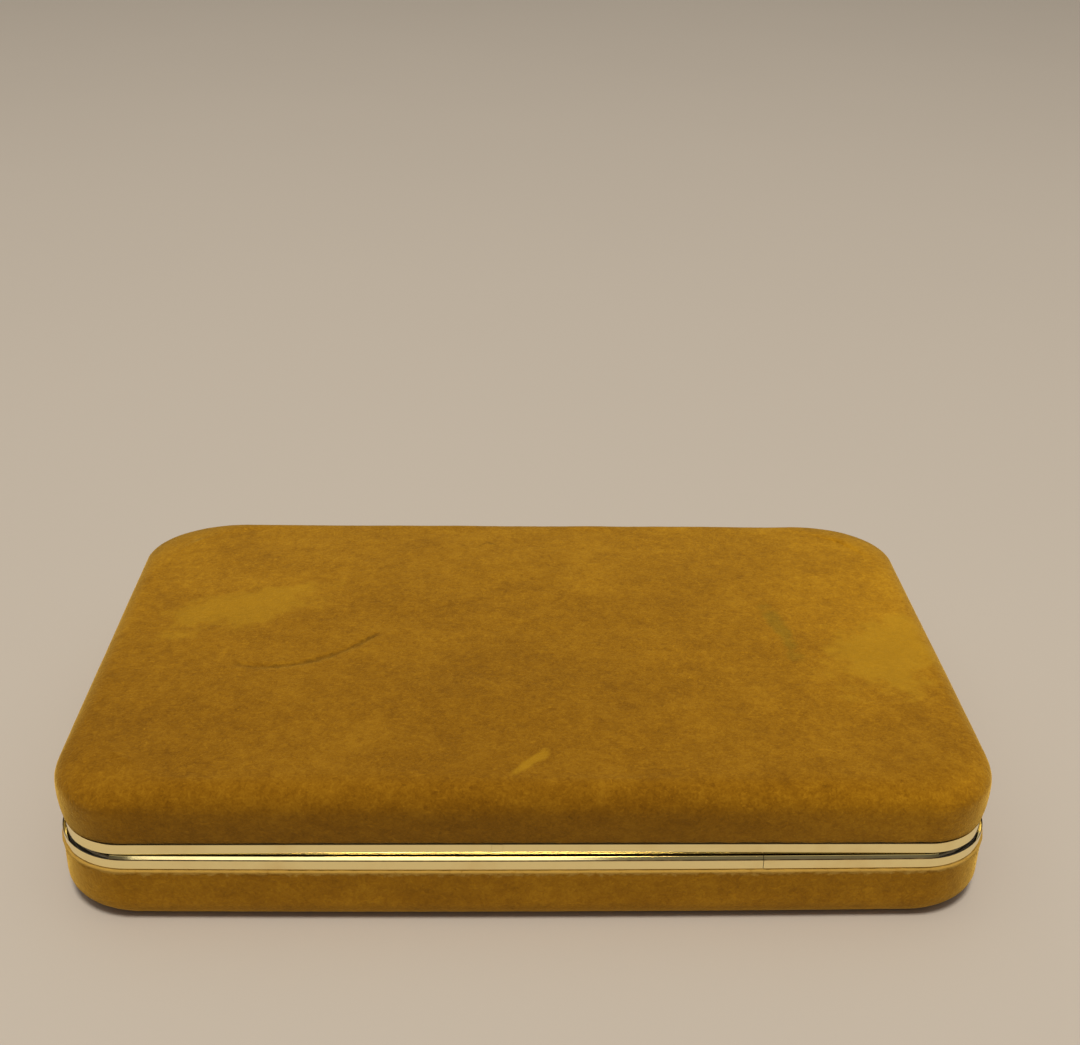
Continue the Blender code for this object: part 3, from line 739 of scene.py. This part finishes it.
def bow(point):
    """How far the base's front stands out at its middle."""
    if point.y > -HALF_Y + 4 * MM:
        return 0.0
    return FRONT_BOW * max(0.0, 1 - (point.x / (80 * MM)) ** 2)


def base_wall(outline, skin, step):
    """Rings down the base's side and under its fillet, on its outer face or on a skin's depth inside it."""
    rings = []
    heights = share_out(BASE_TOP - PILE_EDGE, BASE_TOP - ROLL_REACH, step / 3)
    heights += share_out(BASE_TOP - ROLL_REACH, BASE_FILLET, step)[1:]
    for z in heights:
        proud = ROLL_PROUD * ease((z - BASE_TOP + ROLL_REACH) / ROLL_REACH) if skin == 0 else 0.0
        rings.append(outline.ring(skin - proud, z, BASE_CORNER - skin + proud))
    for angle in share_out(0, pi / 2, step / BASE_FILLET)[1:]:
        inset = BASE_FILLET * (1 - cos(angle)) + skin * cos(angle)
        z = BASE_FILLET * (1 - sin(angle)) + skin * sin(angle)
        rings.append(outline.ring(inset, z, BASE_CORNER - skin))
    return rings


def base_pile(point):
    """The nap of the base's velvet, ragged along its rolled top edge."""
    if point.z < 0.2 * MM:
        return 0.0
    edge = ease((point.z - BASE_TOP + ROLL_REACH) / ROLL_REACH)
    return 0.03 * MM * clouds(point, 2.2 * MM, 9.0, 2) + 0.15 * MM * edge * clouds(point, 1.9 * MM, 4.0, 2)


def make_base_velvet(material):
    """A skin of velvet, whose top edge is rolled over under the gold band."""
    outline = Outline(HALF_X, HALF_Y, 1.25 * STEP)
    outer = base_wall(outline, 0.0, STEP)
    rolled = []
    reach = VELVET + ROLL_PROUD
    for angle in share_out(0, pi, pi / 6)[1:-1]:
        inset = reach / 2 - reach / 2 * cos(angle) - ROLL_PROUD
        rolled.append(outline.ring(inset, BASE_TOP - PILE_EDGE * (1 - sin(angle)), BASE_CORNER - inset))
    inner = base_wall(outline, VELVET, 3 * STEP)
    bm, rows = join_rings(outer[::-1] + rolled + inner)
    outline.fill(bm, rows[0])
    bm.faces.new(rows[-1])
    push_out(bm, base_pile)
    for vertex in bm.verts:
        vertex.co.y -= bow(vertex.co)
    piece = mesh_object("base_velvet_cover", bm, material, "base", 60)
    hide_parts("base_velvet")


# The gold rims


def rounded(section, steps=3):
    """A section of (inset, z, radius) corners, as points with those corners rounded."""
    points = []
    for i, (inset, z, radius) in enumerate(section):
        here = Vector((inset, z))
        before = here + (Vector(section[i - 1][:2]) - here).normalized() * radius
        after = here + (Vector(section[(i + 1) % len(section)][:2]) - here).normalized() * radius
        for k in range(steps):
            t = k / (steps - 1)
            points.append(before * (1 - t) ** 2 + here * 2 * t * (1 - t) + after * t * t)
    return points


def frame_ring(section, corner, inset, step=1.5 * MM):
    """A strip bent round the case, whose corner radius is the given one at the given inset."""
    outline = Outline(HALF_X, HALF_Y, step)
    rings = [outline.ring(p.x, p.y, corner - (p.x - inset)) for p in rounded(section)]
    return join_rings(rings, looped=True)[0]


def cut(piece, *cutters):
    """Takes cutters out of a piece and applies the result."""
    for cutter in cutters:
        modifier = piece.modifiers.new("cut", "BOOLEAN")
        modifier.operation = "DIFFERENCE"
        modifier.solver = "EXACT"
        modifier.object = cutter
    apply_modifiers(piece)
    for cutter in cutters:
        bpy.data.objects.remove(cutter)


def cutter_object(bm):
    bmesh.ops.recalc_face_normals(bm, faces=bm.faces)
    mesh = bpy.data.meshes.new("cutter")
    bm.to_mesh(mesh)
    bm.free()
    made = bpy.data.objects.new("cutter", mesh)
    bpy.context.scene.collection.objects.link(made)
    return made


def block(low, high, turn=0.0):
    """A box to cut with, turned about its own middle."""
    low, high = Vector(low), Vector(high)
    place = Matrix.Translation((low + high) / 2) @ Matrix.Rotation(turn, 4, "Z")
    bm = bmesh.new()
    bmesh.ops.create_cube(bm, size=1, matrix=place @ Matrix.Diagonal((*(high - low), 1)))
    return cutter_object(bm)


def hinge_blocks(y_low, z_low, z_high):
    """Cutters for the room that each hinge takes at the back."""
    return [
        block((x - HINGE_HALF_ROOM, y_low, z_low), (x + HINGE_HALF_ROOM, HALF_Y + MM, z_high))
        for x in (-HINGE_X, HINGE_X)
    ]


def corner_notch(sx, sy):
    """The room in the ledge round one corner, between the band and the tongue."""
    from_side = BASE_BAND_INSET + BASE_BAND_CORNER
    centre = Vector((sx * (HALF_X - from_side), sy * (HALF_Y - from_side)))
    far = BASE_BAND_CORNER - NOTCH_LIP
    near = from_side - TONGUE_INSET + 0.15 * MM
    points = []
    for radius, steps in ((far, range(17)), (near, range(16, -1, -1))):
        for i in steps:
            angle = NOTCH_START + (pi / 2 - 2 * NOTCH_START) * i / 16
            points.append(centre + radius * Vector((sx * cos(angle), sy * sin(angle))))
    bm = bmesh.new()
    face = bm.faces.new([bm.verts.new((p.x, p.y, BAND_TOP - NOTCH_DEPTH)) for p in points])
    drawn = bmesh.ops.extrude_face_region(bm, geom=[face])
    moved = [v for v in drawn["geom"] if isinstance(v, bmesh.types.BMVert)]
    bmesh.ops.translate(bm, verts=moved, vec=(0, 0, NOTCH_DEPTH + MM))
    return cutter_object(bm)


def make_base_rim(material, painted_groove_shade):
    """The band round the base, its groove painted dark as shade, its sloping ledge, and the tongue that
    enters the lid.
    """
    low, top = BASE_RIM_LOW.z, BASE_RIM_HIGH.z
    sharp, fine = 0.1 * MM, 0.03 * MM
    lip = BASE_BAND_INSET + GROOVE_AT
    foot = lip + GROOVE_WIDTH
    crest = foot + (LEDGE_TOP - LEDGE_FOOT) / tan(LEDGE_SLOPE)
    section = [
        (BASE_BAND_INSET, low, sharp),
        (BASE_BAND_INSET, BAND_TOP, fine),
        (lip, BAND_TOP, fine),
        (lip, BAND_TOP - GROOVE_DEPTH, fine),
        (foot, BAND_TOP - GROOVE_DEPTH, fine),
        (foot, LEDGE_FOOT, fine),
        (crest, LEDGE_TOP, fine),
        (crest + LEDGE_CREST, LEDGE_TOP, fine),
        (crest + LEDGE_CREST, CHANNEL_FLOOR, fine),
        (TONGUE_INSET, CHANNEL_FLOOR, sharp),
        (TONGUE_INSET, top, 0.2 * MM),
        (TONGUE_INSET + BAND_METAL, top, 0.2 * MM),
        (TONGUE_INSET + BAND_METAL, CHANNEL_FLOOR - BAND_METAL, sharp),
        (BASE_BAND_INSET + BAND_METAL, CHANNEL_FLOOR - BAND_METAL, sharp),
        (BASE_BAND_INSET + BAND_METAL, low, sharp),
    ]
    ring = frame_ring(section, BASE_BAND_CORNER, BASE_BAND_INSET)
    rim = mesh_object("base_gold_rim", ring, material, "base", 7)
    # The lip's top and the groove get the painted shade, which also dims glints on the lip.
    rim.data.materials.append(painted_groove_shade)
    row_size = len(rim.data.polygons) // len(rounded(section))
    for face in rim.data.polygons:
        if face.index // row_size in PAINTED_SHADE_ROWS:
            face.material_index = 1
    for vertex in rim.data.vertices:
        share = ease((TONGUE_INSET - (HALF_Y + vertex.co.y)) / (2 * MM))
        vertex.co.y -= bow(vertex.co) * share
    seam = 0.06 * MM
    slit_low = (BASE_SEAM_X - seam, -HALF_Y - 2 * MM, low - MM)
    slit = block(slit_low, (BASE_SEAM_X + seam, -HALF_Y + 5 * MM, top + MM))
    notches = [corner_notch(sx, sy) for sx in (-1, 1) for sy in (-1, 1)]
    cut(rim, slit, *notches, *hinge_blocks(BASE_NOTCH_Y, BASE_NOTCH_Z, top + MM))
    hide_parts("base_rim")


def make_lid_rim(material):
    """The band round the lid, turned in at its bottom edge, with its ends' filler piece at the front."""
    low, high = LID_RIM_LOW.z, LID_RIM_HIGH.z + LID_BAND_RISE
    sharp, fine = 0.08 * MM, 0.03 * MM
    section = [
        (LID_BAND_INSET - LID_BAND_FLARE, low, fine),
        (LID_BAND_INSET, high, sharp),
        (LID_BAND_INSET + BAND_METAL, high, sharp),
        (LID_BAND_INSET + BAND_METAL, low + BAND_METAL, sharp),
        (LID_FLANGE_INSET, low + BAND_METAL, sharp),
        (LID_FLANGE_INSET, low, sharp),
    ]
    joint_low, joint_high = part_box("lid_rim_joint")
    gap = proud = 0.03 * MM
    ring = frame_ring(section, LID_BAND_CORNER, LID_BAND_INSET)
    rim = mesh_object("lid_gold_rim", ring, material, "lid", 15)
    room = block((joint_low.x, -HALF_Y - MM, low - MM), (joint_high.x, -HALF_Y + 4 * MM, high + MM))
    cut(rim, room, *hinge_blocks(LID_NOTCH_Y, low - MM, LID_NOTCH_Z))
    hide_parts("lid_rim")
    ends = (joint_low.x + gap, joint_high.x - gap)
    short, rows = join_rings([[(x, p.x - HALF_Y - proud, p.y) for p in rounded(section)] for x in ends])
    for row in rows:
        short.faces.new(row)
    joint = mesh_object("lid_gold_rim_joint", short, material, "lid", 15)
    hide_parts("lid_rim_joint")


# Inside the case


def make_strip(name, node, body, material, room):
    """A satin-covered strip that lines one half's wall, with turned edges and shallow gathers."""
    low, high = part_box(node)
    thick = STRIP_THICKNESS[node]
    corner = STRIP_CORNER[node]
    outline = Outline(high.x, high.y, 1.1 * MM)
    roll = thick / 2
    turns = share_out(0, pi, pi / 6)
    section = [(roll - roll * cos(turn), high.z - roll + roll * sin(turn)) for turn in turns]
    section += [(thick, z) for z in share_out(high.z - roll, low.z + roll, MM)[1:-1]]
    section += [(roll + roll * cos(turn), low.z + roll - roll * sin(turn)) for turn in turns]
    bm, rows = join_rings([outline.ring(x, z, corner - x) for x, z in section], looped=True)
    middle = (low.z + high.z) / 2
    for row, (x, z) in zip(rows, section):
        if x < 1.2 * roll:
            continue
        swing = max(0.0, cos(pi / 2 * (z - middle) / (high.z - middle)))
        for vertex, outer in zip(row, rows[0]):
            inwards = (vertex.co - outer.co) * Vector((1, 1, 0))
            place = Vector((vertex.co.x + 0.4 * z, vertex.co.y, 0.15 * z))
            gather = 1 + clouds(place, 4.5 * MM, 3.0)
            vertex.co += inwards.normalized() * (0.14 * MM * gather * swing)
    piece = mesh_object(name, bm, material, body, 50)
    cut(piece, *hinge_blocks(*room))
    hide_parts(node)


def make_satin_pad(material):
    """The lid's satin panel, stretched over wadding and card, so that it swells and gathers at its edges."""
    low, high = SATIN_LOW, SATIN_HIGH
    outline = Outline(high.x, high.y, 2.2 * MM)
    edge = high.z - 0.9 * MM
    turned = 2.5 * MM
    rings = [outline.ring(turned, high.z, SATIN_CORNER - turned)]
    rings += [outline.ring(0.3 * MM, high.z, SATIN_CORNER), outline.ring(0.0, edge, SATIN_CORNER)]
    puff = high.z - low.z - 1.6 * MM
    for share in (0.25, 0.5, 0.75, 1.0):
        inset = 7 * MM * share
        rings.append(outline.ring(inset, edge - puff * sin(pi / 2 * share), SATIN_CORNER - inset / 2))

    def waves(x, y):
        return edge - puff + SATIN_WAVES * clouds((x, 0.7 * y, 0), 30 * MM, 6.0, 2)

    bm, rows = join_rings(rings)
    outline.fill(bm, rows[0])
    outline.fill(bm, rows[-1], waves)
    pad = mesh_object("lid_satin_panel", bm, material, "lid", 80)
    swell(pad, lambda p: p.z > edge - 0.05 * MM, SATIN_PRESSURE, SATIN_SPARE, SATIN_SWELL)
    smoothed(pad)
    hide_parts("lid_satin_pad")


def slits():
    """Each slit in the display pad: its middle, half length, and turn."""
    for sx in (-1, 1):
        yield Vector((sx * 64 * MM, 36 * MM)), 6 * MM, -sx * radians(38)
        yield Vector((sx * 11 * MM, 16 * MM)), 3.5 * MM, pi / 2


def slit_dip(x, y):
    """How strongly the nearest slit draws the display pad's velvet in, from 0 to 1."""
    dip = 0.0
    for middle, half_length, turn in slits():
        off = Vector((x, y)) - middle
        along = off.x * cos(turn) + off.y * sin(turn)
        across = -off.x * sin(turn) + off.y * cos(turn)
        beyond = max(0.0, abs(along) - half_length)
        dip = max(dip, exp(-(across**2 + beyond**2) / (1.7 * MM) ** 2))
    return dip


def make_display_pad(material):
    """The velvet-covered pad that the jewelry lies on, crowned, with slits for a chain and for earrings."""
    low, high = PAD_LOW, PAD_HIGH
    centre_y = (low.y + high.y) / 2
    outline = Outline(high.x, (high.y - low.y) / 2, 1.2 * MM, centre_y)
    edge = high.z - PAD_CROWN
    fillet = 2.6 * MM
    turned = 1.2 * MM
    rings = [outline.ring(turned, low.z, PAD_CORNER - turned)]
    rings.append(outline.ring(0.2 * MM, low.z + 0.6 * MM, PAD_CORNER))
    for z in share_out(low.z + 1.5 * MM, edge - fillet, 1.2 * MM):
        rings.append(outline.ring(0.0, z, PAD_CORNER))
    for angle in share_out(0, pi / 2, 0.25)[1:]:
        z = edge - fillet * (1 - sin(angle))
        rings.append(outline.ring(fillet * (1 - cos(angle)), z, PAD_CORNER - 0.2 * MM))

    def top(x, y):
        rise_x = sin(pi / 2 * min(1.0, (high.x - fillet - abs(x)) / PAD_REACH))
        rise_y = sin(pi / 2 * min(1.0, (outline.half_y - fillet - abs(y - centre_y)) / PAD_REACH))
        soft = 0.12 * MM * clouds((x, y, 0), 22 * MM, 7.0)
        return edge + PAD_CROWN * max(0.0, rise_x) * max(0.0, rise_y) + soft - SLIT_DIP * slit_dip(x, y)

    bm, rows = join_rings(rings)
    bm.faces.new(rows[0])
    outline.fill(bm, rows[-1], top)
    pad = mesh_object("display_pad_velvet", bm, material, "insert", 60)
    cutters = []
    for middle, half_length, turn in slits():
        half = Vector((half_length, SLIT_HALF, SLIT_DEPTH))
        centre = Vector((middle.x, middle.y, high.z))
        cutters.append(block(centre - half, centre + half, turn))
    cut(pad, *cutters)
    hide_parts("display_pad")
    return pad


def make_ribbon(material, pad):
    """The pull ribbon, glued under the pad, turned over its front edge and cut to a swallowtail."""
    low, high = RIBBON_LOW, RIBBON_HIGH
    tree = BVHTree.FromObject(pad, bpy.context.evaluated_depsgraph_get())
    thick = 0.32 * MM
    y_out = low.y + 0.1 * MM
    bend_z = PAD_HIGH.z - 2.2 * MM
    route = [Vector((0, y_out, z)) for z in share_out(low.z + 0.1 * MM, bend_z, 0.8 * MM)]
    bend = 2.0 * MM
    for angle in share_out(0, pi / 2, 0.2)[1:]:
        route.append(Vector((0, y_out + bend * (1 - cos(angle)), bend_z + bend * sin(angle))))
    turn_y = route[-1].y
    for y in share_out(turn_y, high.y, 0.8 * MM)[1:]:
        hit = tree.ray_cast(Vector((0, y, 30 * MM)), Vector((0, 0, -1)))[0]
        route.append(Vector((0, y, hit.z)))
    for point in route:
        if point.y > turn_y:
            lift = ease((point.y - turn_y) / (high.y - turn_y)) * 0.9 * MM
            point.z += thick / 2 + 0.12 * MM + lift
    smooth = [p.copy() for p in route]
    for _ in range(3):
        for i in range(1, len(smooth) - 1):
            smooth[i] = (smooth[i - 1] + smooth[i] * 2 + smooth[i + 1]) / 4
    across = share_out(-RIBBON_HALF, RIBBON_HALF, 0.5 * MM)
    rings = []
    for i, point in enumerate(smooth):
        out = out_of_strip(smooth, i)
        tail = 1.6 * MM if i == len(smooth) - 1 else 0.0
        row = []
        for side in (1, -1):
            for x in across if side > 0 else across[::-1]:
                short = tail * (1 - abs(x) / RIBBON_HALF)
                edge = 1 - 0.5 * (abs(x) / RIBBON_HALF) ** 8
                cup = 0.1 * MM * (x / RIBBON_HALF) ** 2
                row.append(Vector((x, point.y - short, point.z)) + out * (side * thick / 2 * edge + cup))
        rings.append(row)
    bm, rows = join_rings(rings)
    bm.faces.new(rows[0])
    last = rows[-1]
    for k in range(len(across) - 1):
        bm.faces.new((last[k], last[k + 1], last[-k - 2], last[-k - 1]))
    ribbon = mesh_object("ribbon_pull", bm, material, "insert", 50)
    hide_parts("pull_ribbon")


def make_spring(name, node, material):
    """A bow of flat spring strip from the base's leaf to the lid's."""
    low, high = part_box(node)
    middle_x = (low.x + high.x) / 2
    half = (high.x - low.x) / 2
    base_end = Vector((0, *SPRING_BASE_END))
    lid_end = Vector((0, *SPRING_LID_END))
    count = 28
    route = []
    for i in range(count + 1):
        t = i / count
        point = base_end.lerp(lid_end, t)
        point.y -= SPRING_SAG * sin(pi * t) ** 0.9 if 0 < t < 1 else 0.0
        route.append(point)
    rings = []
    for i, point in enumerate(route):
        out = out_of_strip(route, i)
        t = i / count
        wide = half * (0.72 + 0.28 * ease(abs(2 * t - 1)))
        row = []
        for side in (1, -1):
            for x in (-1, -0.94, 0, 0.94, 1) if side > 0 else (1, 0.94, 0, -0.94, -1):
                depth = SPRING_METAL / 2 * (0.55 if abs(x) == 1 else 1)
                row.append(Vector((middle_x + wide * x, point.y, point.z)) + out * side * depth)
        rings.append(row)
    bm, rows = join_rings(rings)
    bm.faces.new(rows[0])
    bm.faces.new(rows[-1])
    spring = mesh_object(name, bm, material, None, 50)
    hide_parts(node)
    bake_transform(spring)


# Stage, light and camera


def make_stage(material):
    bm = bmesh.new()
    bmesh.ops.create_grid(bm, x_segments=1, y_segments=1, size=FLOOR_HALF)
    floor = mesh_object("floor", bm, material, None)
    floor.location.z = -0.05 * MM


def add_lamp(name, height, turn, distance, size, power):
    """A soft lamp that faces the case from in front, at an angle above the floor and a turn to one side."""
    light = bpy.data.lights.new(name, "AREA")
    light.shape = "ELLIPSE"
    light.size, light.size_y = size
    light.energy = power
    light.color = LIGHT_COLOUR[:3]
    lamp = bpy.data.objects.new(name, light)
    towards = Vector((sin(turn) * cos(height), -cos(turn) * cos(height), sin(height)))
    lamp.location = towards * distance
    lamp.rotation_euler = towards.to_track_quat("Z", "Y").to_euler()
    bpy.context.scene.collection.objects.link(lamp)


def make_light():
    """A room that is pale overhead and dim low down, a soft lamp high up, and a weak one in front."""
    world = bpy.data.worlds.new("studio")
    world.use_nodes = True
    tree = world.node_tree
    background = tree.nodes["Background"]
    background.inputs["Color"].default_value = LIGHT_COLOUR
    direction = tree.nodes.new("ShaderNodeTexCoord").outputs["Generated"]
    split = tree.nodes.new("ShaderNodeSeparateXYZ")
    tree.links.new(direction, split.inputs["Vector"])
    strongest = tree.nodes.new("ShaderNodeMath")
    strongest.operation = "MAXIMUM"
    for i, (axis, numbers) in enumerate((("Z", ROOM_LIGHT), ("Y", BACKDROP_LIGHT))):
        rise = tree.nodes.new("ShaderNodeMapRange")
        rise.interpolation_type = "SMOOTHSTEP"
        for name, value in zip(("From Min", "From Max", "To Min", "To Max"), numbers):
            rise.inputs[name].default_value = value
        tree.links.new(split.outputs[axis], rise.inputs["Value"])
        tree.links.new(rise.outputs["Result"], strongest.inputs[i])
    tree.links.new(strongest.outputs["Value"], background.inputs["Strength"])
    bpy.context.scene.world = world
    add_lamp("high_lamp", HIGH_HEIGHT, HIGH_TURN, HIGH_DISTANCE, HIGH_SIZE, HIGH_POWER)
    add_lamp("front_lamp", FRONT_HEIGHT, FRONT_TURN, FRONT_DISTANCE, FRONT_SIZE, FRONT_POWER)
    bpy.context.scene.view_settings.view_transform = "Standard"


def make_camera():
    """The camera at the photograph's viewing angle."""
    camera = bpy.data.cameras.new("camera")
    camera.lens = CAMERA_LENS_MM
    camera.clip_start = 0.01
    eye = bpy.data.objects.new("camera", camera)
    forward = Vector((0, cos(CAMERA_PITCH), -sin(CAMERA_PITCH)))
    up = Vector((0, sin(CAMERA_PITCH), cos(CAMERA_PITCH)))
    right = Vector((1, 0, 0))
    tilted_right = right * cos(CAMERA_ROLL) - up * sin(CAMERA_ROLL)
    tilted_up = right * sin(CAMERA_ROLL) + up * cos(CAMERA_ROLL)
    axes = Matrix((tilted_right, tilted_up, -forward)).transposed().to_4x4()
    place = Matrix.Translation(Vector(CAMERA_AIM) - forward * CAMERA_DISTANCE)
    eye.matrix_world = Matrix.Rotation(-CAMERA_YAW, 4, "Z") @ place @ axes
    bpy.context.scene.collection.objects.link(eye)
    bpy.context.scene.camera = eye


# Pile colours: brushed away, plain, brushed forward, and the sheen on its tips.
GOLD_PILE = ((0.20, 0.081, 0.002), (0.285, 0.124, 0.0035), (0.37, 0.175, 0.007), (1.0, 0.65, 0.14))
CREAM_PILE = ((0.42, 0.33, 0.19), (0.52, 0.43, 0.28), (0.62, 0.54, 0.38), (1.0, 0.93, 0.78))


def make_materials():
    return {
        "velvet_gold": velvet("velvet_gold", *GOLD_PILE, zones=base_edge_and_painted_light),
        "velvet_gold_lid": velvet("velvet_gold_lid", *GOLD_PILE, zones=lid_zones),
        "trim_gold": brass("trim_gold", (1.0, 0.85, 0.43), 0.09),
        # Painted shade for the base rim's groove.
        "painted_groove_shade": groove_shade_paint("painted_groove_shade", (0.07, 0.04, 0.015), (0.3, 0.2, 0.08)),
        "shell_steel": steel("shell_steel", (0.24, 0.23, 0.21), 0.45),
        "satin_ivory": satin("satin_ivory", (0.78, 0.69, 0.52), (0.66, 0.54, 0.36)),
        "velvet_cream": velvet("velvet_cream", *CREAM_PILE),
        "card": card("card", (0.55, 0.45, 0.32)),
        "wadding": card("wadding", (0.85, 0.83, 0.78)),
        "hinge_brass": brass("hinge_brass", (0.70, 0.52, 0.25), 0.32, 1.6),
        "spring_steel": steel("spring_steel", (0.42, 0.43, 0.47), 0.3),
        "ribbon": ribbon_cloth("ribbon", (0.42, 0.24, 0.04)),
    }


def finish_cad_nodes(materials):
    """Every node that stays as it is gets the material that the record names for it."""
    slots = {row["node"]: row["material_slot"] for row in frame["record"]["subparts"]}
    for name, node in frame["nodes"].items():
        node.data.materials.clear()
        node.data.materials.append(materials[slots[name]])


def make_scene():
    make_camera()
    materials = make_materials()
    finish_cad_nodes(materials)
    make_lid_velvet(materials["velvet_gold_lid"])
    make_base_velvet(materials["velvet_gold"])
    make_base_rim(materials["trim_gold"], materials["painted_groove_shade"])
    make_lid_rim(materials["trim_gold"])
    make_strip("tray_satin_strip", "tray_lining", "base", materials["satin_ivory"], TRAY_LINING_ROOM)
    make_strip("lid_satin_strip", "lid_side_lining", "lid", materials["satin_ivory"], LID_LINING_ROOM)
    make_satin_pad(materials["satin_ivory"])
    pad = make_display_pad(materials["velvet_cream"])
    make_ribbon(materials["ribbon"], pad)
    for side in ("left", "right"):
        make_spring(f"bow_spring_{side}", f"snap_spring_{side}", materials["spring_steel"])
    make_stage(floor_paint("floor_paint", (0.56, 0.505, 0.44)))
    make_light()


make_scene()
